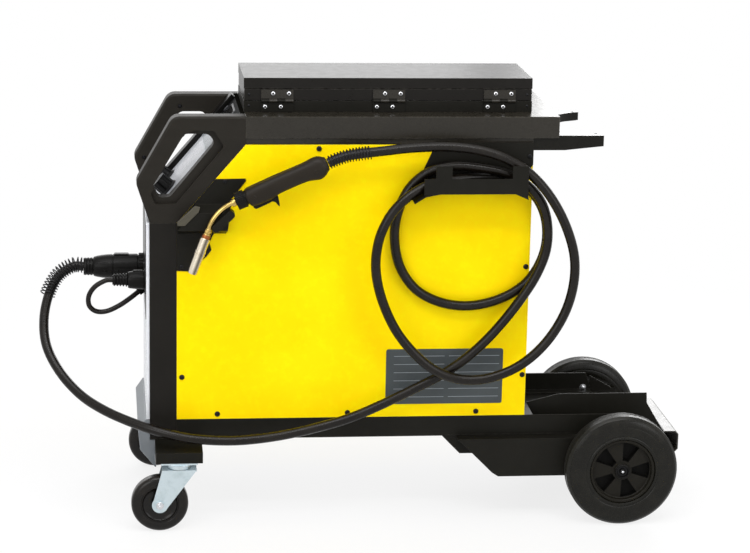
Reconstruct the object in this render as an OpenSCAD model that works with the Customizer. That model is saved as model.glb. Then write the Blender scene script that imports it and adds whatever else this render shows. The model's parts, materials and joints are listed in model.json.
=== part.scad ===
// Wire-feed welder on its cart: cabinet, handles, toolbox, bottle tray, wheels, torch and cables.
// Millimetres. X runs to the rear, Y away from the torch side, Z up from the floor.

/* [Cabinet] */
// Length of the side panels
cab_len = 620; // [600:5:700]
// Height of the side panels
cab_h = 491; // [480:1:540]
// Width over the side panels
cab_w = 272; // [268:2:300]
// Height of the panels' lower edge above the floor
cab_z = 186; // [182:1:200]
// Thickness of the panel sheet
sheet = 1.5; // [1:0.25:2]
// Length of a front post, along the machine
post_w = 47; // [40:1:52]
// Depth of a front post, across the machine
post_d = 40; // [34:1:42]
// Height of the bottom rails
rail_h = 35; // [30:1:36]
// Width of the bottom rails
rail_w = 25; // [20:1:28]
// How far the front fascia stands ahead of the posts
fascia_t = 6; // [4:1:8]

/* [Top cover and toolbox] */
// Height of the top cover, over its recessed lower strip
cover_h = 49; // [46:1:56]
// Height of the recessed strip under the cover
strip_h = 11; // [8:1:14]
// Sheet thickness of the cover
cover_t = 2; // [1.5:0.25:3]
// How far the cover reaches behind the cabinet
cover_over = 45; // [30:1:55]
// Length of the toolbox
box_len = 506; // [480:2:520]
// Depth of the toolbox, across the machine
box_w = 176; // [160:2:190]
// Height of the toolbox tray
tray_h = 19.5; // [17:0.5:24]
// Height of the toolbox lid
lid_h = 39; // [34:0.5:48]
// Gap between the tray and the lid
lid_gap = 1; // [0.8:0.1:1.5]
// Toolbox sheet thickness
box_t = 1.5; // [1:0.25:2]
// Spacing of the toolbox hinges
hinge_pitch = 195; // [180:1:200]

/* [Handles] */
// Thickness of a handle
handle_t = 36; // [32:1:38]
// Depth of the sunk field round the finger hole
sunk = 4; // [3:0.5:6]

/* [Wheels] */
// Rear wheel diameter
wheel_d = 200; // [190:2:204]
// Rear tyre width
wheel_w = 45; // [38:1:46]
// Width over the rear wheels
track = 420; // [416:2:440]
// Axle diameter
axle_d = 20; // [16:1:22]
// Distance of the axle behind the cabinet
axle_back = 168; // [160:1:180]
// Front caster wheel diameter
caster_d = 100; // [96:1:102]
// Front caster wheel width
caster_w = 30; // [24:1:32]
// Distance between the casters' swivel axes
caster_track = 368; // [360:2:372]
// Trail of the casters
caster_trail = 34; // [28:1:36]
// Swivel axis, behind the front edge of the panels
caster_set = 3; // [0:1:10]

/* [Bottle tray and yoke] */
// Radius of the bottle cradle in the yoke
cradle_r = 118; // [110:1:119]
// Reach of the yoke behind the cabinet
yoke_reach = 125; // [110:1:130]
// Length of the tray's rear slope and bumper behind the axle
bumper_back = 123; // [115:1:130]
// Bumper depth, along the machine
bumper_w = 30; // [24:1:34]

/* [Torch and cables] */
// Torch cable diameter
cable_d = 17; // [15:0.5:17]
// Polarity lead diameter
lead_d = 9; // [8:0.5:9.5]
// Wire diameter of the bend springs
spring_wire = 2.4; // [2:0.1:2.4]
// Gap between the torch cable and its bend springs
spring_gap = 1.2; // [1.1:0.1:1.5]
// Torch neck diameter
neck_d = 8; // [7:0.5:9]
// Nozzle outer diameter
nozzle_d = 15.5; // [14:0.5:17]

/* [Wire feed and fan] */
// Wire spool diameter
spool_d = 300; // [280:5:304]
// Wire spool width
spool_w = 100; // [90:1:103]
// Feed roll diameter
roll_d = 35; // [30:1:36]
// Fan diameter
fan_d = 110; // [100:2:112]

/* [Fits] */
// Radial running clearance of pins and shafts
run = 0.06; // [0.03:0.01:0.1]
// Gap between pieces that move past each other
play = 0.6; // [0.4:0.1:0.8]

/* [Hidden] */
$fn = 48;
hw = cab_w / 2;
front_reach = caster_d / 2 + caster_trail - caster_set;
total = front_reach + cab_len + axle_back + bumper_back;
cab_x0 = front_reach - total / 2;
cab_x1 = cab_x0 + cab_len;
axle_x = cab_x1 + axle_back;
rear_x = axle_x + bumper_back;
axle_z = wheel_d / 2;
post_x = cab_x0 - post_w;
face_x = post_x - fascia_t;
rail_z = cab_z - rail_h;
cab_top = cab_z + cab_h;
cover_z = cab_top + cover_h;
skirt_z = cab_top + strip_h;

// Pan and bottle tray
pan_t = 2;
pan_z = rail_z - pan_t;
slope_x = axle_x + 5;
slope_drop = 6.5;
tail_x = rear_x - 12;
bumper_x = rear_x - bumper_w;
bumper_h = 40;
bumper_y = 106;
corner_cut = 34;
guide_y = 104;
guide_t = 2.5;

// Handle outline from the front lower corner of the panels' top (cab_x0, cab_top)
diag_x = 118;
diag_z = -137;
handle_in = hw - handle_t;
handle_pts = [[-post_w, diag_z], [-71, -65], [-7, cover_h], [diag_x, cover_h], [diag_x, 0], [0, diag_z]];
handle_rad = [0, 20, 20, 0, 0, 0];
hole_pts = [[12, 17.5], [55, 17.5], [66, 2], [-12, -93.5], [-32, -93.5], [-41, -72]];
hole_rad = [14, 14, 10, 12, 8, 6];
field_pts = [[14, 18], [30, 25], [64, 24], [81, -3], [-2, -103], [-37, -104], [-45, -86], [-36, -72]];
field_rad = [0, 6, 8, 6, 5, 5, 6, 0];

// Cover and toolbox
cover_x0 = cab_x0 + diag_x;
cover_x1 = cab_x1 + cover_over;
box_x0 = cover_x0 - 1;
box_x1 = box_x0 + box_len;
tray_top = cover_z + tray_h;
lid_z = tray_top + lid_gap;
lid_top = lid_z + lid_h;
pin_r = 1.5;
knuckle_r = 3.1;
leaf_t = 2.5;
knuckle = 14;
lid_axis_y = -box_w / 2 - knuckle_r - 0.5;
lid_axis_z = tray_top + lid_gap / 2;
hinge_xs = [for (i = [-1:1]) (box_x0 + box_x1) / 2 + i * hinge_pitch];

// Access door on the far side
door_x1 = cab_x1 - 60;
door_gap = 1;
door_axis_x = door_x1 + 2;
door_axis_y = hw + knuckle_r + 0.5;
door_hinge_zs = [cab_z + 110, cab_z + 370];
latch_x = cab_x0 + 30;
latch_z = cab_z + 160;
latch_shaft = 5;

// Yoke
yoke_z = skirt_z + 4;
yoke_t = 2;
yoke_y = hw - 5;
yoke_x1 = cab_x1 + yoke_reach;
yoke_hole = 3.5;

// Rear wheels
axle_r = axle_d / 2;
rim_r = 58;
wheel_y = (track - wheel_w) / 2;
hub_l = wheel_w - 12;
hub_r = 17;
plate_y = track / 2 - wheel_w - 5;
cap_y = wheel_y + hub_l / 2 + play;

// Casters
swivel_x = cab_x0 + caster_set;
swivel_y = caster_track / 2;
caster_x = swivel_x - caster_trail;
caster_z = caster_d / 2;
kingpin_r = 5;
bolt_r = 5;
fork_gap = 2;
hood_z = caster_d + 24;
hood_x0 = swivel_x - 41;
hood_x1 = swivel_x + 41;
hood_y = swivel_y + 14;
swivel_plate_t = 3;
race_h = 7;
fork_z = hood_z - swivel_plate_t - race_h - play;
fork_t = 2.5;

// Console between the handles
console_dx = 158.5;
console_dz = 185;
console_x = post_x;
console_z = cab_top + diag_z;
console_a = atan2(console_dz, console_dx);
console_t = 3;
knob_along = 55;
knob_y = 45;
knob_r = 15;
knob_h = 20;
knob_shaft = 4;

// Front connectors
socket_z = cab_z + 235;
euro_y = 45;
polarity_y = -60;
spare_y = -8;

// Wire feed
wall_y = 8;
spool_x = cab_x0 + 405;
spool_z = cab_z + 174;
spool_y = wall_y + 8;
spool_hub_r = 25;
roll_x = cab_x0 + 130;
roll_r = roll_d / 2;
roll_z = socket_z - roll_r - 0.5;
roll_w = 12;
roll_shaft = 5;
arm_x = roll_x - 34;
arm_z = socket_z + 30;
arm_pin = 3;

// Fan
fan_x = cab_x1 - 16;
fan_y = -64;
fan_z = cab_z + 150;
fan_shaft = 3;

// Power switch, gland and gas inlet on the rear panel
switch_y = 70;
switch_z = cab_top - 61;
switch_r = 20;
switch_shaft = 5;
mains_y = -80;
gland_r = 12;
gas_r = 8;
mains_z = cab_top - 91;
gas_y = 30;
gas_z = cab_z + 300;

// Torch: neck root, grip slope, side plane
torch_y = -178;
torch_set = 100;
neck_root = [cab_x0 + torch_set, cab_z + 400];
holder_top = neck_root[1] + 91;
neck_lead = 7;
neck_R = 70;
nozzle_a = 70;
diffuser_r = 6.2;
neck_r = neck_d / 2;
peg_a = 43.5;
peg_from = 25;
peg_to = 9;
collar_l = 17;
collar_r = 15.5;
grip_w = 35;

// Cable hanger on the panel
hanger_x0 = cab_x0 + 422;
hanger_x1 = cab_x0 + 595;
hanger_z = cab_top - 74;
hanger_y = -196;
hanger_t = 2;

// Torch cable's route, from its plug to the torch grip
cable_route = [
    [-577, 45, 421], [-596, 45, 421], [-621, 41, 405], [-639, 29, 374], [-648, 8, 332],
    [-643, -17, 289], [-619, -47, 249], [-584, -82, 218], [-544, -117, 200], [-497, -150, 187],
    [-449, -176, 177], [-400, -188, 168], [-350, -190, 163], [-298, -187, 162], [-236, -180, 167],
    [-174, -173, 178], [-115, -168, 193], [-59, -166, 216], [-6, -166, 242], [46, -166, 269],
    [86, -166, 296], [122, -166, 328], [154, -166, 364], [186, -166, 407], [212, -166, 450],
    [228, -166, 495], [229, -166, 540], [217, -166, 580], [190, -166, 612], [152, -166, 632],
    [108, -163, 641], [65, -156, 643], [22, -149, 632], [-12, -147, 603], [-32, -147, 560],
    [-37, -147, 514], [-27, -147, 464], [2, -147, 422], [46, -147, 398], [98, -147, 391],
    [152, -147, 403], [197, -147, 431], [224, -147, 474], [232, -147, 521], [222, -147, 566],
    [195, -147, 602], [156, -147, 619], [110, -149, 622], [62, -160, 620], [16, -174, 613],
    [-23, -183, 591], [-51, -186, 560], [-69, -186, 517], [-73, -186, 466], [-61, -186, 412],
    [-36, -186, 358], [-1, -186, 314], [36, -186, 284], [79, -186, 268], [128, -186, 269],
    [180, -186, 289], [224, -186, 326], [257, -186, 376], [274, -186, 430], [275, -186, 486],
    [258, -186, 542], [229, -185, 594], [194, -181, 633], [152, -177, 659], [104, -174, 674],
    [50, -173, 680], [-10, -176, 679], [-69, -178, 673], [-117, -178, 667], [-142, -178, 660],
    [-158, -178, 653]];
cable_step = 37;
close_step = 9;
cable_sides = 8;

// Polarity lead's route, from its plug back into the fascia
lead_route = [
    [-526, -60, 421], [-538, -60, 420], [-556, -58, 409], [-567, -55, 392], [-567, -51, 373],
    [-555, -47, 361], [-536, -43, 360], [-514, -39, 369], [-495, -35, 381], [-480, -31, 392]];
lead_step = 12;

// Least gap of the cable to itself is measured on points this far apart
gap_step = 12;

// Outlines with rounded corners: one radius for each corner, 0 for a sharp one
function unit(v) = v / norm(v);
function arc_step(a, b) = (b - a + 540) % 360 - 180;
function corner(p, q, s, r) = r <= 0 ? [q] : let (
    u = unit(p - q), v = unit(s - q), h = acos(u * v) / 2,
    c = q + unit(u + v) * r / sin(h),
    a = q + u * r / tan(h) - c, b = q + v * r / tan(h) - c,
    a0 = atan2(a[1], a[0]), d = arc_step(a0, atan2(b[1], b[0])))
    [for (i = [0:5]) c + r * [cos(a0 + d * i / 5), sin(a0 + d * i / 5)]];
function rounded(pts, rad) = let (n = len(pts))
    [for (i = [0:n - 1]) each corner(pts[(i + n - 1) % n], pts[i], pts[(i + 1) % n], rad[i])];
function at_cab(pts) = [for (p = pts) [cab_x0 + p[0], cab_top + p[1]]];
function at_foot(pts) = [for (p = pts) [cab_x0 + p[0], cab_z + p[1]]];
function at_torch(pts) = [for (p = pts) [neck_root[0] - torch_set + p[0], holder_top + p[1]]];

// Plates and rods: side plates lie in X-Z, front plates in Y-Z, plan plates in X-Y
module side_plate(pts, y0, y1) {
    translate([0, y1, 0]) rotate([90, 0, 0]) linear_extrude(y1 - y0) polygon(pts);
}
module front_plate(pts, x0, x1) {
    translate([x0, 0, 0]) rotate([90, 0, 90]) linear_extrude(x1 - x0) polygon(pts);
}
module plan_plate(pts, z0, z1) {
    translate([0, 0, z0]) linear_extrude(z1 - z0) polygon(pts);
}
module block(a, b) {
    translate(a) cube(b - a);
}
module rod_x(p, l, r) {
    translate(p) rotate([0, 90, 0]) cylinder(h = l, r = r);
}
module rod_y(p, l, r) {
    translate(p) rotate([-90, 0, 0]) cylinder(h = l, r = r);
}
module rod_z(p, l, r) {
    translate(p) cylinder(h = l, r = r);
}
module turned_y(pts) {
    rotate([-90, 0, 0]) rotate_extrude($fn = 72) polygon(pts);
}
module both_sides() {
    children();
    mirror([0, 1, 0]) children();
}

// Smooth line through a route's points, its running length, and places along it
function route_pt(p, i) = let (n = len(p))
    i < 0 ? 2 * p[0] - p[1] : i >= n ? 2 * p[n - 1] - p[n - 2] : p[i];
function spline(a, b, c, d, t) =
    (2 * b + (c - a) * t + (2 * a - 5 * b + 4 * c - d) * t * t + (3 * b - a - 3 * c + d) * t * t * t) / 2;
function smooth(p) = concat(
    [for (i = [0:len(p) - 2], j = [0:5])
        spline(route_pt(p, i - 1), p[i], p[i + 1], route_pt(p, i + 2), j / 6)],
    [p[len(p) - 1]]);
function running(p) = [for (i = 0, s = 0; i < len(p); s = s + norm(route_pt(p, i + 1) - p[i]), i = i + 1) s];
function index_table(p) = let (s = running(p)) [for (i = [0:len(p) - 1]) [s[i], i]];
function place(p, table, s) = let (f = lookup(s, table), i = min(floor(f), len(p) - 2))
    p[i] + (p[i + 1] - p[i]) * (f - i);
function heading(p, table, s) = unit(place(p, table, s + 1) - place(p, table, s - 1));

// One unbroken tube through rings of points
function ring(c, t, side, r, n) = let (u = unit(side - t * (side * t)), v = cross(t, u))
    [for (k = [0:n - 1]) c + r * (u * cos(360 * k / n) + v * sin(360 * k / n))];
module tube(rings) {
    n = len(rings[0]);
    m = len(rings);
    polyhedron(
        points = [for (r = rings) each r],
        faces = concat(
            [for (k = [1:n - 2]) [0, k, k + 1]],
            [for (i = [0:m - 2], k = [0:n - 1]) [i * n + k, (i + 1) * n + k, (i + 1) * n + (k + 1) % n]],
            [for (i = [0:m - 2], k = [0:n - 1]) [i * n + k, (i + 1) * n + (k + 1) % n, i * n + (k + 1) % n]],
            [for (k = [1:n - 2]) [(m - 1) * n, (m - 1) * n + k + 1, (m - 1) * n + k]]));
}
module cord(p, stations, r, n) {
    table = index_table(p);
    m = len(stations);
    ends = [unit(p[1] - p[0]), unit(p[len(p) - 1] - p[len(p) - 2])];
    tube([for (i = [0:m - 1])
        let (t = i == 0 ? ends[0] : i == m - 1 ? ends[1] : heading(p, table, stations[i]))
        ring(place(p, table, stations[i]), t, cross(t, [0, 1, 0]), r, n)]);
}

// Bend spring wound round a cable from running length s0 to s1, with a straight tail at each end
spring_R = cable_d / 2 + spring_gap + spring_wire / 2;
coil_rings = 8;
coil_sides = 6;
module bend_spring(p, s0, s1, turns) {
    table = index_table(p);
    n = turns * coil_rings;
    a0 = s0 + spring_wire;
    a1 = s1 - spring_wire;
    wire = concat([[s0, 0]], [for (i = [0:n]) [a0 + (a1 - a0) * i / n, 360 * i / coil_rings]], [[s1, 360 * turns]]);
    function radial(w) = let (t = heading(p, table, w[0]), a = unit(cross(t, [0, 1, 0])))
        a * cos(w[1]) + cross(t, a) * sin(w[1]);
    pts = [for (w = wire) place(p, table, w[0]) + spring_R * radial(w)];
    m = len(pts);
    dirs = [for (i = [0:m - 1])
        unit(pts[min(i + 1, m - 1)] - pts[max(i - 1, 0)])];
    near = [for (i = [1:n - coil_rings], j = [i + coil_rings - 2:min(i + coil_rings + 2, n)]) norm(pts[i] - pts[j])];
    echo(str("bend spring: least gap of the wire to itself ", min(near) - spring_wire, " mm"));
    tube([for (i = [0:m - 1]) ring(pts[i], dirs[i], radial(wire[i]), spring_wire / 2, coil_sides)]);
}

black = "#26252a";
warm_black = "#34322e";
yellow = "#ffe600";
pale = "#c9cbd0";
zinc = "#c8cdd2";
brass = "#b8923c";

// ---- Frame, tray and running gear ----

module base_pan() color(black) {
    outline = [[post_x, -hw], [tail_x - corner_cut, -hw], [tail_x, -hw + corner_cut],
        [tail_x, hw - corner_cut], [tail_x - corner_cut, hw], [post_x, hw]];
    low_z = rail_z - slope_drop;
    profile = [[post_x, rail_z], [slope_x, rail_z], [bumper_x, low_z], [tail_x, low_z],
        [tail_x, low_z - pan_t], [bumper_x, low_z - pan_t], [slope_x, pan_z], [post_x, pan_z]];
    intersection() {
        plan_plate(outline, low_z - 2 * pan_t, rail_z + pan_t);
        side_plate(profile, -hw, hw);
    }
    rod_z([slope_x - 12, hw - rail_w - 8, rail_z], 5, 6);
}

module bottom_rails() color(black) both_sides() {
    web = 3;
    lip_h = 6;
    end_x = axle_x + 46;
    side_plate([[cab_x0, rail_z], [slope_x, rail_z], [slope_x, rail_z + lip_h], [axle_x - 4, cab_z],
        [cab_x0, cab_z]], hw - web, hw);
    block([cab_x0, hw - rail_w, rail_z], [slope_x, hw, rail_z + web]);
    side_plate([[slope_x, rail_z], [end_x, rail_z], [end_x, rail_z + lip_h], [slope_x, cab_z - 6],
        [slope_x - 1, cab_z - 6], [slope_x - 1, rail_z]], hw - web, hw);
}

module axle_carrier() color(black) {
    low_z = axle_z - 21;
    shelf_t = 3;
    carrier_l = 290;
    nose_x = axle_x - carrier_l;
    bracket = [[nose_x, pan_z], [nose_x + 63, low_z + 7], [nose_x + 74, low_z], [axle_x + 25, low_z],
        [axle_x + 60, low_z + 31], [axle_x + 60, pan_z]];
    trough_z = axle_z + axle_r + 5;
    trough_y = hw - 2;
    trough_t = 2;
    difference() {
        both_sides() {
            side_plate(bracket, plate_y - shelf_t, plate_y);
            block([nose_x, hw - 16, pan_z - shelf_t], [slope_x, plate_y, pan_z]);
        }
        rod_y([axle_x, -plate_y - 1, axle_z], 2 * plate_y + 2, axle_r + run);
    }
    difference() {
        side_plate([[nose_x - 26, pan_z], [nose_x + 7, trough_z], [nose_x + 210, trough_z],
            [nose_x + 243, pan_z]], -trough_y, trough_y);
        side_plate([[nose_x - 23, pan_z + 1], [nose_x + 8, trough_z + trough_t],
            [nose_x + 209, trough_z + trough_t], [nose_x + 240, pan_z + 1]],
            -trough_y + trough_t, trough_y - trough_t);
    }
}

module axle() color(zinc) {
    collar = 3;
    rod_y([axle_x, -cap_y, axle_z], 2 * cap_y, axle_r);
    both_sides() {
        rod_y([axle_x, plate_y + run, axle_z], wheel_y - hub_l / 2 - plate_y - run - play, axle_r + collar);
        rod_y([axle_x, cap_y, axle_z], 1.5, axle_r + collar);
    }
}

module front_posts() color(warm_black) both_sides() {
    wall = 2;
    lip = 10;
    difference() {
        block([post_x, hw - post_d, rail_z], [cab_x0, hw, console_z]);
        block([post_x + wall, hw - post_d + wall, rail_z + wall], [cab_x0 - wall, hw - wall, console_z - wall]);
        block([cab_x0 - wall - 1, hw - post_d + wall, rail_z + wall],
            [cab_x0 + 1, hw - wall - lip, console_z - wall]);
    }
}

module front_cowl() color(pale) {
    cowl_t = 2;
    cowl_y = hw - 2;
    outer = [[post_x, cab_z], [face_x - 2, cab_z], [face_x - 15, cab_z - 19], [face_x - 11, rail_z - 21],
        [face_x + 15, rail_z - 53], [face_x + 17, rail_z - 53], [face_x + 17, rail_z - 50],
        [face_x - 9, rail_z - 20], [face_x - 13, cab_z - 20], [face_x - 1, cab_z - cowl_t],
        [post_x, cab_z - cowl_t]];
    side_plate(outer, -cowl_y, cowl_y);
    both_sides() side_plate([outer[0], outer[1], outer[2], outer[3], outer[4], [face_x + 15, pan_z],
        [post_x, pan_z]], cowl_y - cowl_t, cowl_y);
}

module front_panel() color(pale) {
    wall = 1.5;
    panel_y = hw - 2;
    difference() {
        block([face_x, -panel_y, cab_z], [post_x, panel_y, console_z]);
        block([face_x + wall, -panel_y + wall, cab_z + wall], [post_x + 1, panel_y - wall, console_z - wall]);
        rod_x([face_x - 1, euro_y, socket_z], 4, euro_r + run);
        for (y = [polarity_y, spare_y]) rod_x([face_x - 1, y, socket_z], 4, dinse_r + run);
        translate(lead_end) rod_x([face_x - lead_end[0] - 1, 0, 0], 4, lead_d / 2 + 1);
    }
}

// Front sockets: torch socket, two lead sockets and the lead's gland
euro_r = 20;
dinse_r = 11;
flange_t = 2;
lead_end = lead_route[len(lead_route) - 1];
lead_dir = unit(lead_end - lead_route[len(lead_route) - 2]);
lead_turn = [0, acos(lead_dir[2]), atan2(lead_dir[1], lead_dir[0])];

module socket(y, r, flange_r, bore, depth) difference() {
    union() {
        rod_x([face_x - flange_t, y, socket_z], flange_t, flange_r);
        rod_x([face_x, y, socket_z], depth, r);
    }
    rod_x([face_x - flange_t - 1, y, socket_z], depth - 2, bore);
}
module front_sockets() color(black) {
    socket(euro_y, euro_r, 27, 8, 28);
    socket(polarity_y, dinse_r, 19, 6, 24);
    socket(spare_y, dinse_r, 19, 6, 24);
    difference() {
        translate(lead_end) rotate(lead_turn) cylinder(h = 30, r = lead_d / 2 + 3);
        block([face_x, -hw, 0], [0, hw, cab_top]);
    }
    translate(lead_end) rod_x([face_x - lead_end[0], 0, 0], 6, lead_d / 2 + 0.9);
}

module bottle_guide() color(black) {
    foot = 15;
    low_z = rail_z - slope_drop;
    side_plate([[cab_x1 + 40, rail_z], [slope_x, rail_z], [bumper_x, low_z], [axle_x + 62, cab_z + 10],
        [axle_x + 61, cab_z + 29], [cab_x1 + 67, cab_z + 29], [cab_x1 + 8, cab_z + 14],
        [cab_x1 + 21, cab_z - 9]], -guide_y, -guide_y + guide_t);
    block([cab_x1 + 50, -guide_y, rail_z], [slope_x, -guide_y + foot, rail_z + guide_t]);
}

module rear_bumper() color(warm_black) {
    wall = 2.5;
    top_z = rail_z - slope_drop - pan_t;
    low_z = top_z - bumper_h;
    side_plate([[bumper_x, top_z], [rear_x - 6, top_z], [rear_x, top_z - 6], [rear_x, low_z + 6],
        [rear_x - 6, low_z], [rear_x - 16, low_z], [rear_x - 16, low_z + wall], [rear_x - 7, low_z + wall],
        [rear_x - wall, low_z + 7], [rear_x - wall, top_z - 7], [rear_x - 7, top_z - wall],
        [bumper_x, top_z - wall]], -bumper_y, bumper_y);
}

module caster_hoods() color(black) both_sides() {
    wall = 2.5;
    in_y = hw - 36;
    step_z = hood_z + 19;
    difference() {
        front_plate([[in_y, hood_z], [hood_y, hood_z], [hood_y, step_z], [hw + 4, pan_z], [in_y, pan_z]],
            hood_x0, hood_x1);
        front_plate([[in_y - 1, hood_z + wall], [hood_y - wall, hood_z + wall], [hood_y - wall, step_z - wall],
            [hw + 3, pan_z - wall], [in_y - 1, pan_z - wall]], hood_x0 + wall, hood_x1 - wall);
    }
}

module caster_plates() color(zinc) both_sides() {
    plate_z = hood_z - swivel_plate_t;
    fork_top_t = 2.5;
    nut_h = 3;
    block([swivel_x - 32, swivel_y - 26, plate_z], [swivel_x + 32, hood_y, hood_z]);
    rod_z([swivel_x, swivel_y, plate_z - race_h], race_h, 20);
    rod_z([swivel_x, swivel_y, fork_z - fork_top_t - play - nut_h], race_h + nut_h + fork_top_t + 2 * play,
        kingpin_r);
    rod_z([swivel_x, swivel_y, fork_z - fork_top_t - play - nut_h], nut_h, kingpin_r + 4);
}

module caster_fork(side) color(zinc) {
    top_t = 2.5;
    leg_y = caster_w / 2 + fork_gap;
    eye_r = 14;
    head = 3;
    leg = [[swivel_x - 30, fork_z], [swivel_x + 30, fork_z], [caster_x + 12.5, caster_z - 6],
        [caster_x - 13.9, caster_z - 2]];
    difference() {
        union() {
            block([swivel_x - 30, side * swivel_y - leg_y - fork_t, fork_z - top_t],
                [swivel_x + 30, side * swivel_y + leg_y + fork_t, fork_z]);
            for (s = [-1, 1]) translate([0, side * swivel_y + s * (leg_y + fork_t / 2), 0]) {
                side_plate(leg, -fork_t / 2, fork_t / 2);
                rod_y([caster_x, -fork_t / 2, caster_z], fork_t, eye_r);
            }
        }
        rod_z([swivel_x, side * swivel_y, fork_z - top_t - 1], top_t + 2, kingpin_r + run);
    }
    rod_y([caster_x, side * swivel_y - leg_y - fork_t - head, caster_z], 2 * (leg_y + fork_t + head), bolt_r);
    for (s = [-1, 1])
        rod_y([caster_x, side * swivel_y + s * (leg_y + fork_t + head / 2) - head / 2, caster_z], head, 8);
}

module caster_wheel(side) color(black) {
    half = caster_w / 2;
    hub = half + fork_gap - play;
    r = caster_d / 2;
    translate([caster_x, side * swivel_y, caster_z]) turned_y([
        [bolt_r + run, -hub], [12, -hub], [13, -half + 4], [r - 13, -half + 4], [r - 11, -half],
        [r - 5, -half], [r - 1, -half + 4], [r, -half + 9], [r, half - 9], [r - 1, half - 4], [r - 5, half],
        [r - 11, half], [r - 13, half - 4], [13, half - 4], [12, hub], [bolt_r + run, hub]]);
}

module rear_tyre(side) color(black) {
    half = wheel_w / 2;
    r = wheel_d / 2;
    translate([axle_x, side * wheel_y, axle_z]) turned_y([
        [rim_r, -half + 3], [rim_r + 8, -half + 1], [rim_r + 20, -half], [r - 12, -half + 2],
        [r - 3, -half + 7], [r, -half + 14], [r, half - 14], [r - 3, half - 7], [r - 12, half - 2],
        [rim_r + 20, half], [rim_r + 8, half - 1], [rim_r, half - 3]]);
}

module rear_rim(side) color("#3a393b") {
    half = wheel_w / 2 - 3;
    web = 4;
    rim_t = 7;
    spokes = 5;
    in_r = hub_r + 8;
    out_r = rim_r - rim_t - 4;
    span = 22;
    pocket_floor = 2;
    window = concat([for (a = [-span:span / 3:span]) in_r * [cos(a), sin(a)]],
        [for (a = [span:-span / 3:-span]) out_r * [cos(a), sin(a)]]);
    translate([axle_x, side * wheel_y, axle_z]) difference() {
        turned_y([[axle_r + run, -hub_l / 2], [hub_r, -hub_l / 2], [hub_r, -web], [rim_r - rim_t, -web],
            [rim_r - rim_t, -half], [rim_r, -half], [rim_r, half], [rim_r - rim_t, half],
            [rim_r - rim_t, web], [hub_r, web], [hub_r, hub_l / 2], [axle_r + run, hub_l / 2]]);
        for (i = [0:spokes - 1]) rotate([0, 90 + i * 360 / spokes, 0])
            translate([0, side * pocket_floor, 0]) side_plate(window, -web, web);
    }
}

// ---- Cabinet ----

module handle_shape() {
    difference() {
        side_plate(at_cab(rounded(handle_pts, handle_rad)), handle_in, hw);
        side_plate(at_cab(rounded(hole_pts, hole_rad)), handle_in - 1, hw + 1);
        side_plate(at_cab(rounded(field_pts, field_rad)), hw - sunk, hw + 1);
        for (p = at_cab([[12.7, 27], [-52, -67]])) rod_y([p[0], handle_in - 1, p[1]], 7, 4);
    }
}
module handle_far() color(warm_black) handle_shape();
module handle_near() color(warm_black) mirror([0, 1, 0]) handle_shape();

module top_cover() color(warm_black) {
    in = 4;
    difference() {
        union() {
            block([cover_x0, -hw, skirt_z], [cover_x1, hw, cover_z]);
            block([cover_x0, -hw + in, cab_top], [cab_x1, hw - in, skirt_z]);
        }
        block([cover_x0 - 1, -hw + cover_t, skirt_z + cover_t], [cover_x1 - cover_t, hw - cover_t, cover_z - cover_t]);
        block([cover_x0 - 1, -hw + in + cover_t, cab_top - 1],
            [cab_x1 - cover_t, hw - in - cover_t, skirt_z + cover_t + 1]);
        block([cab_x1, -hw + cover_t, skirt_z - 1], [cover_x1 - cover_t, hw - cover_t, skirt_z + cover_t + 1]);
        block([cab_x1, -hw + cover_t, skirt_z - 1], [cover_x1 + 1, hw - cover_t, yoke_z + play]);
    }
}

module side_panel() color(yellow) {
    side_plate([[cab_x0, cab_z], [cab_x1, cab_z], [cab_x1, cab_top], [cab_x0 + diag_x, cab_top],
        [cab_x0, cab_top + diag_z]], -hw, -hw + sheet);
}

module rear_panel() color(black) {
    back = cab_x1 - sheet;
    difference() {
        union() {
            block([back, -hw + sheet, cab_z], [cab_x1, hw - sheet, cab_top]);
            block([back, -hw + rail_w + 1, rail_z], [cab_x1, hw - rail_w - 1, cab_z]);
            block([door_x1 + door_gap + 1, hw - sheet, cab_z], [cab_x1, hw, cab_top]);
        }
        rod_x([back - 1, mains_y, mains_z], 4, gland_r + run);
        rod_x([back - 1, gas_y, gas_z], 4, gas_r + run);
        rod_x([back - 1, switch_y, switch_z], 4, switch_shaft + run);
        for (i = [-4:4]) let (half = sqrt(pow(fan_d / 2 - 4, 2) - pow(i * 11, 2)))
            block([back - 1, fan_y - half, fan_z + i * 11 - 3], [cab_x1 + 1, fan_y + half, fan_z + i * 11 + 3]);
    }
}

module partition() color(zinc) {
    side_plate([[cab_x0 + 4, rail_z], [cab_x1 - sheet, rail_z], [cab_x1 - sheet, cab_top - 1],
        [cab_x1 - sheet - 8, cover_z - cover_t], [cover_x0 + 10, cover_z - cover_t], [cab_x0 + 4, console_z + 30]],
        wall_y, wall_y + sheet);
}

module control_panel() color(pale) {
    h = console_t / sin(console_a);
    top_x = console_x + console_dx;
    top_z = console_z + console_dz;
    difference() {
        side_plate([[console_x, console_z], [top_x, top_z], [cover_x0, top_z], [cover_x0, top_z - console_t],
            [top_x + 1, top_z - console_t], [console_x + h, console_z]], -handle_in, handle_in);
        for (s = [-1, 1]) on_console(knob_along, s * knob_y) rod_z([0, 0, -2 * console_t], 3 * console_t, knob_shaft + run);
    }
}
module on_console(along, y) {
    translate([console_x, 0, console_z]) rotate([0, -console_a, 0]) translate([along, y, 0]) children();
}
module knob(y) color(black) on_console(knob_along, y) {
    rod_z([0, 0, play], knob_h, knob_r);
    rod_z([0, 0, -console_t - 8], console_t + 9, knob_shaft);
    rod_z([0, 0, -console_t - 8], 8 - play, knob_shaft + 3);
}
module wire_knob() knob(knob_y);
module volt_knob() knob(-knob_y);

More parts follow.
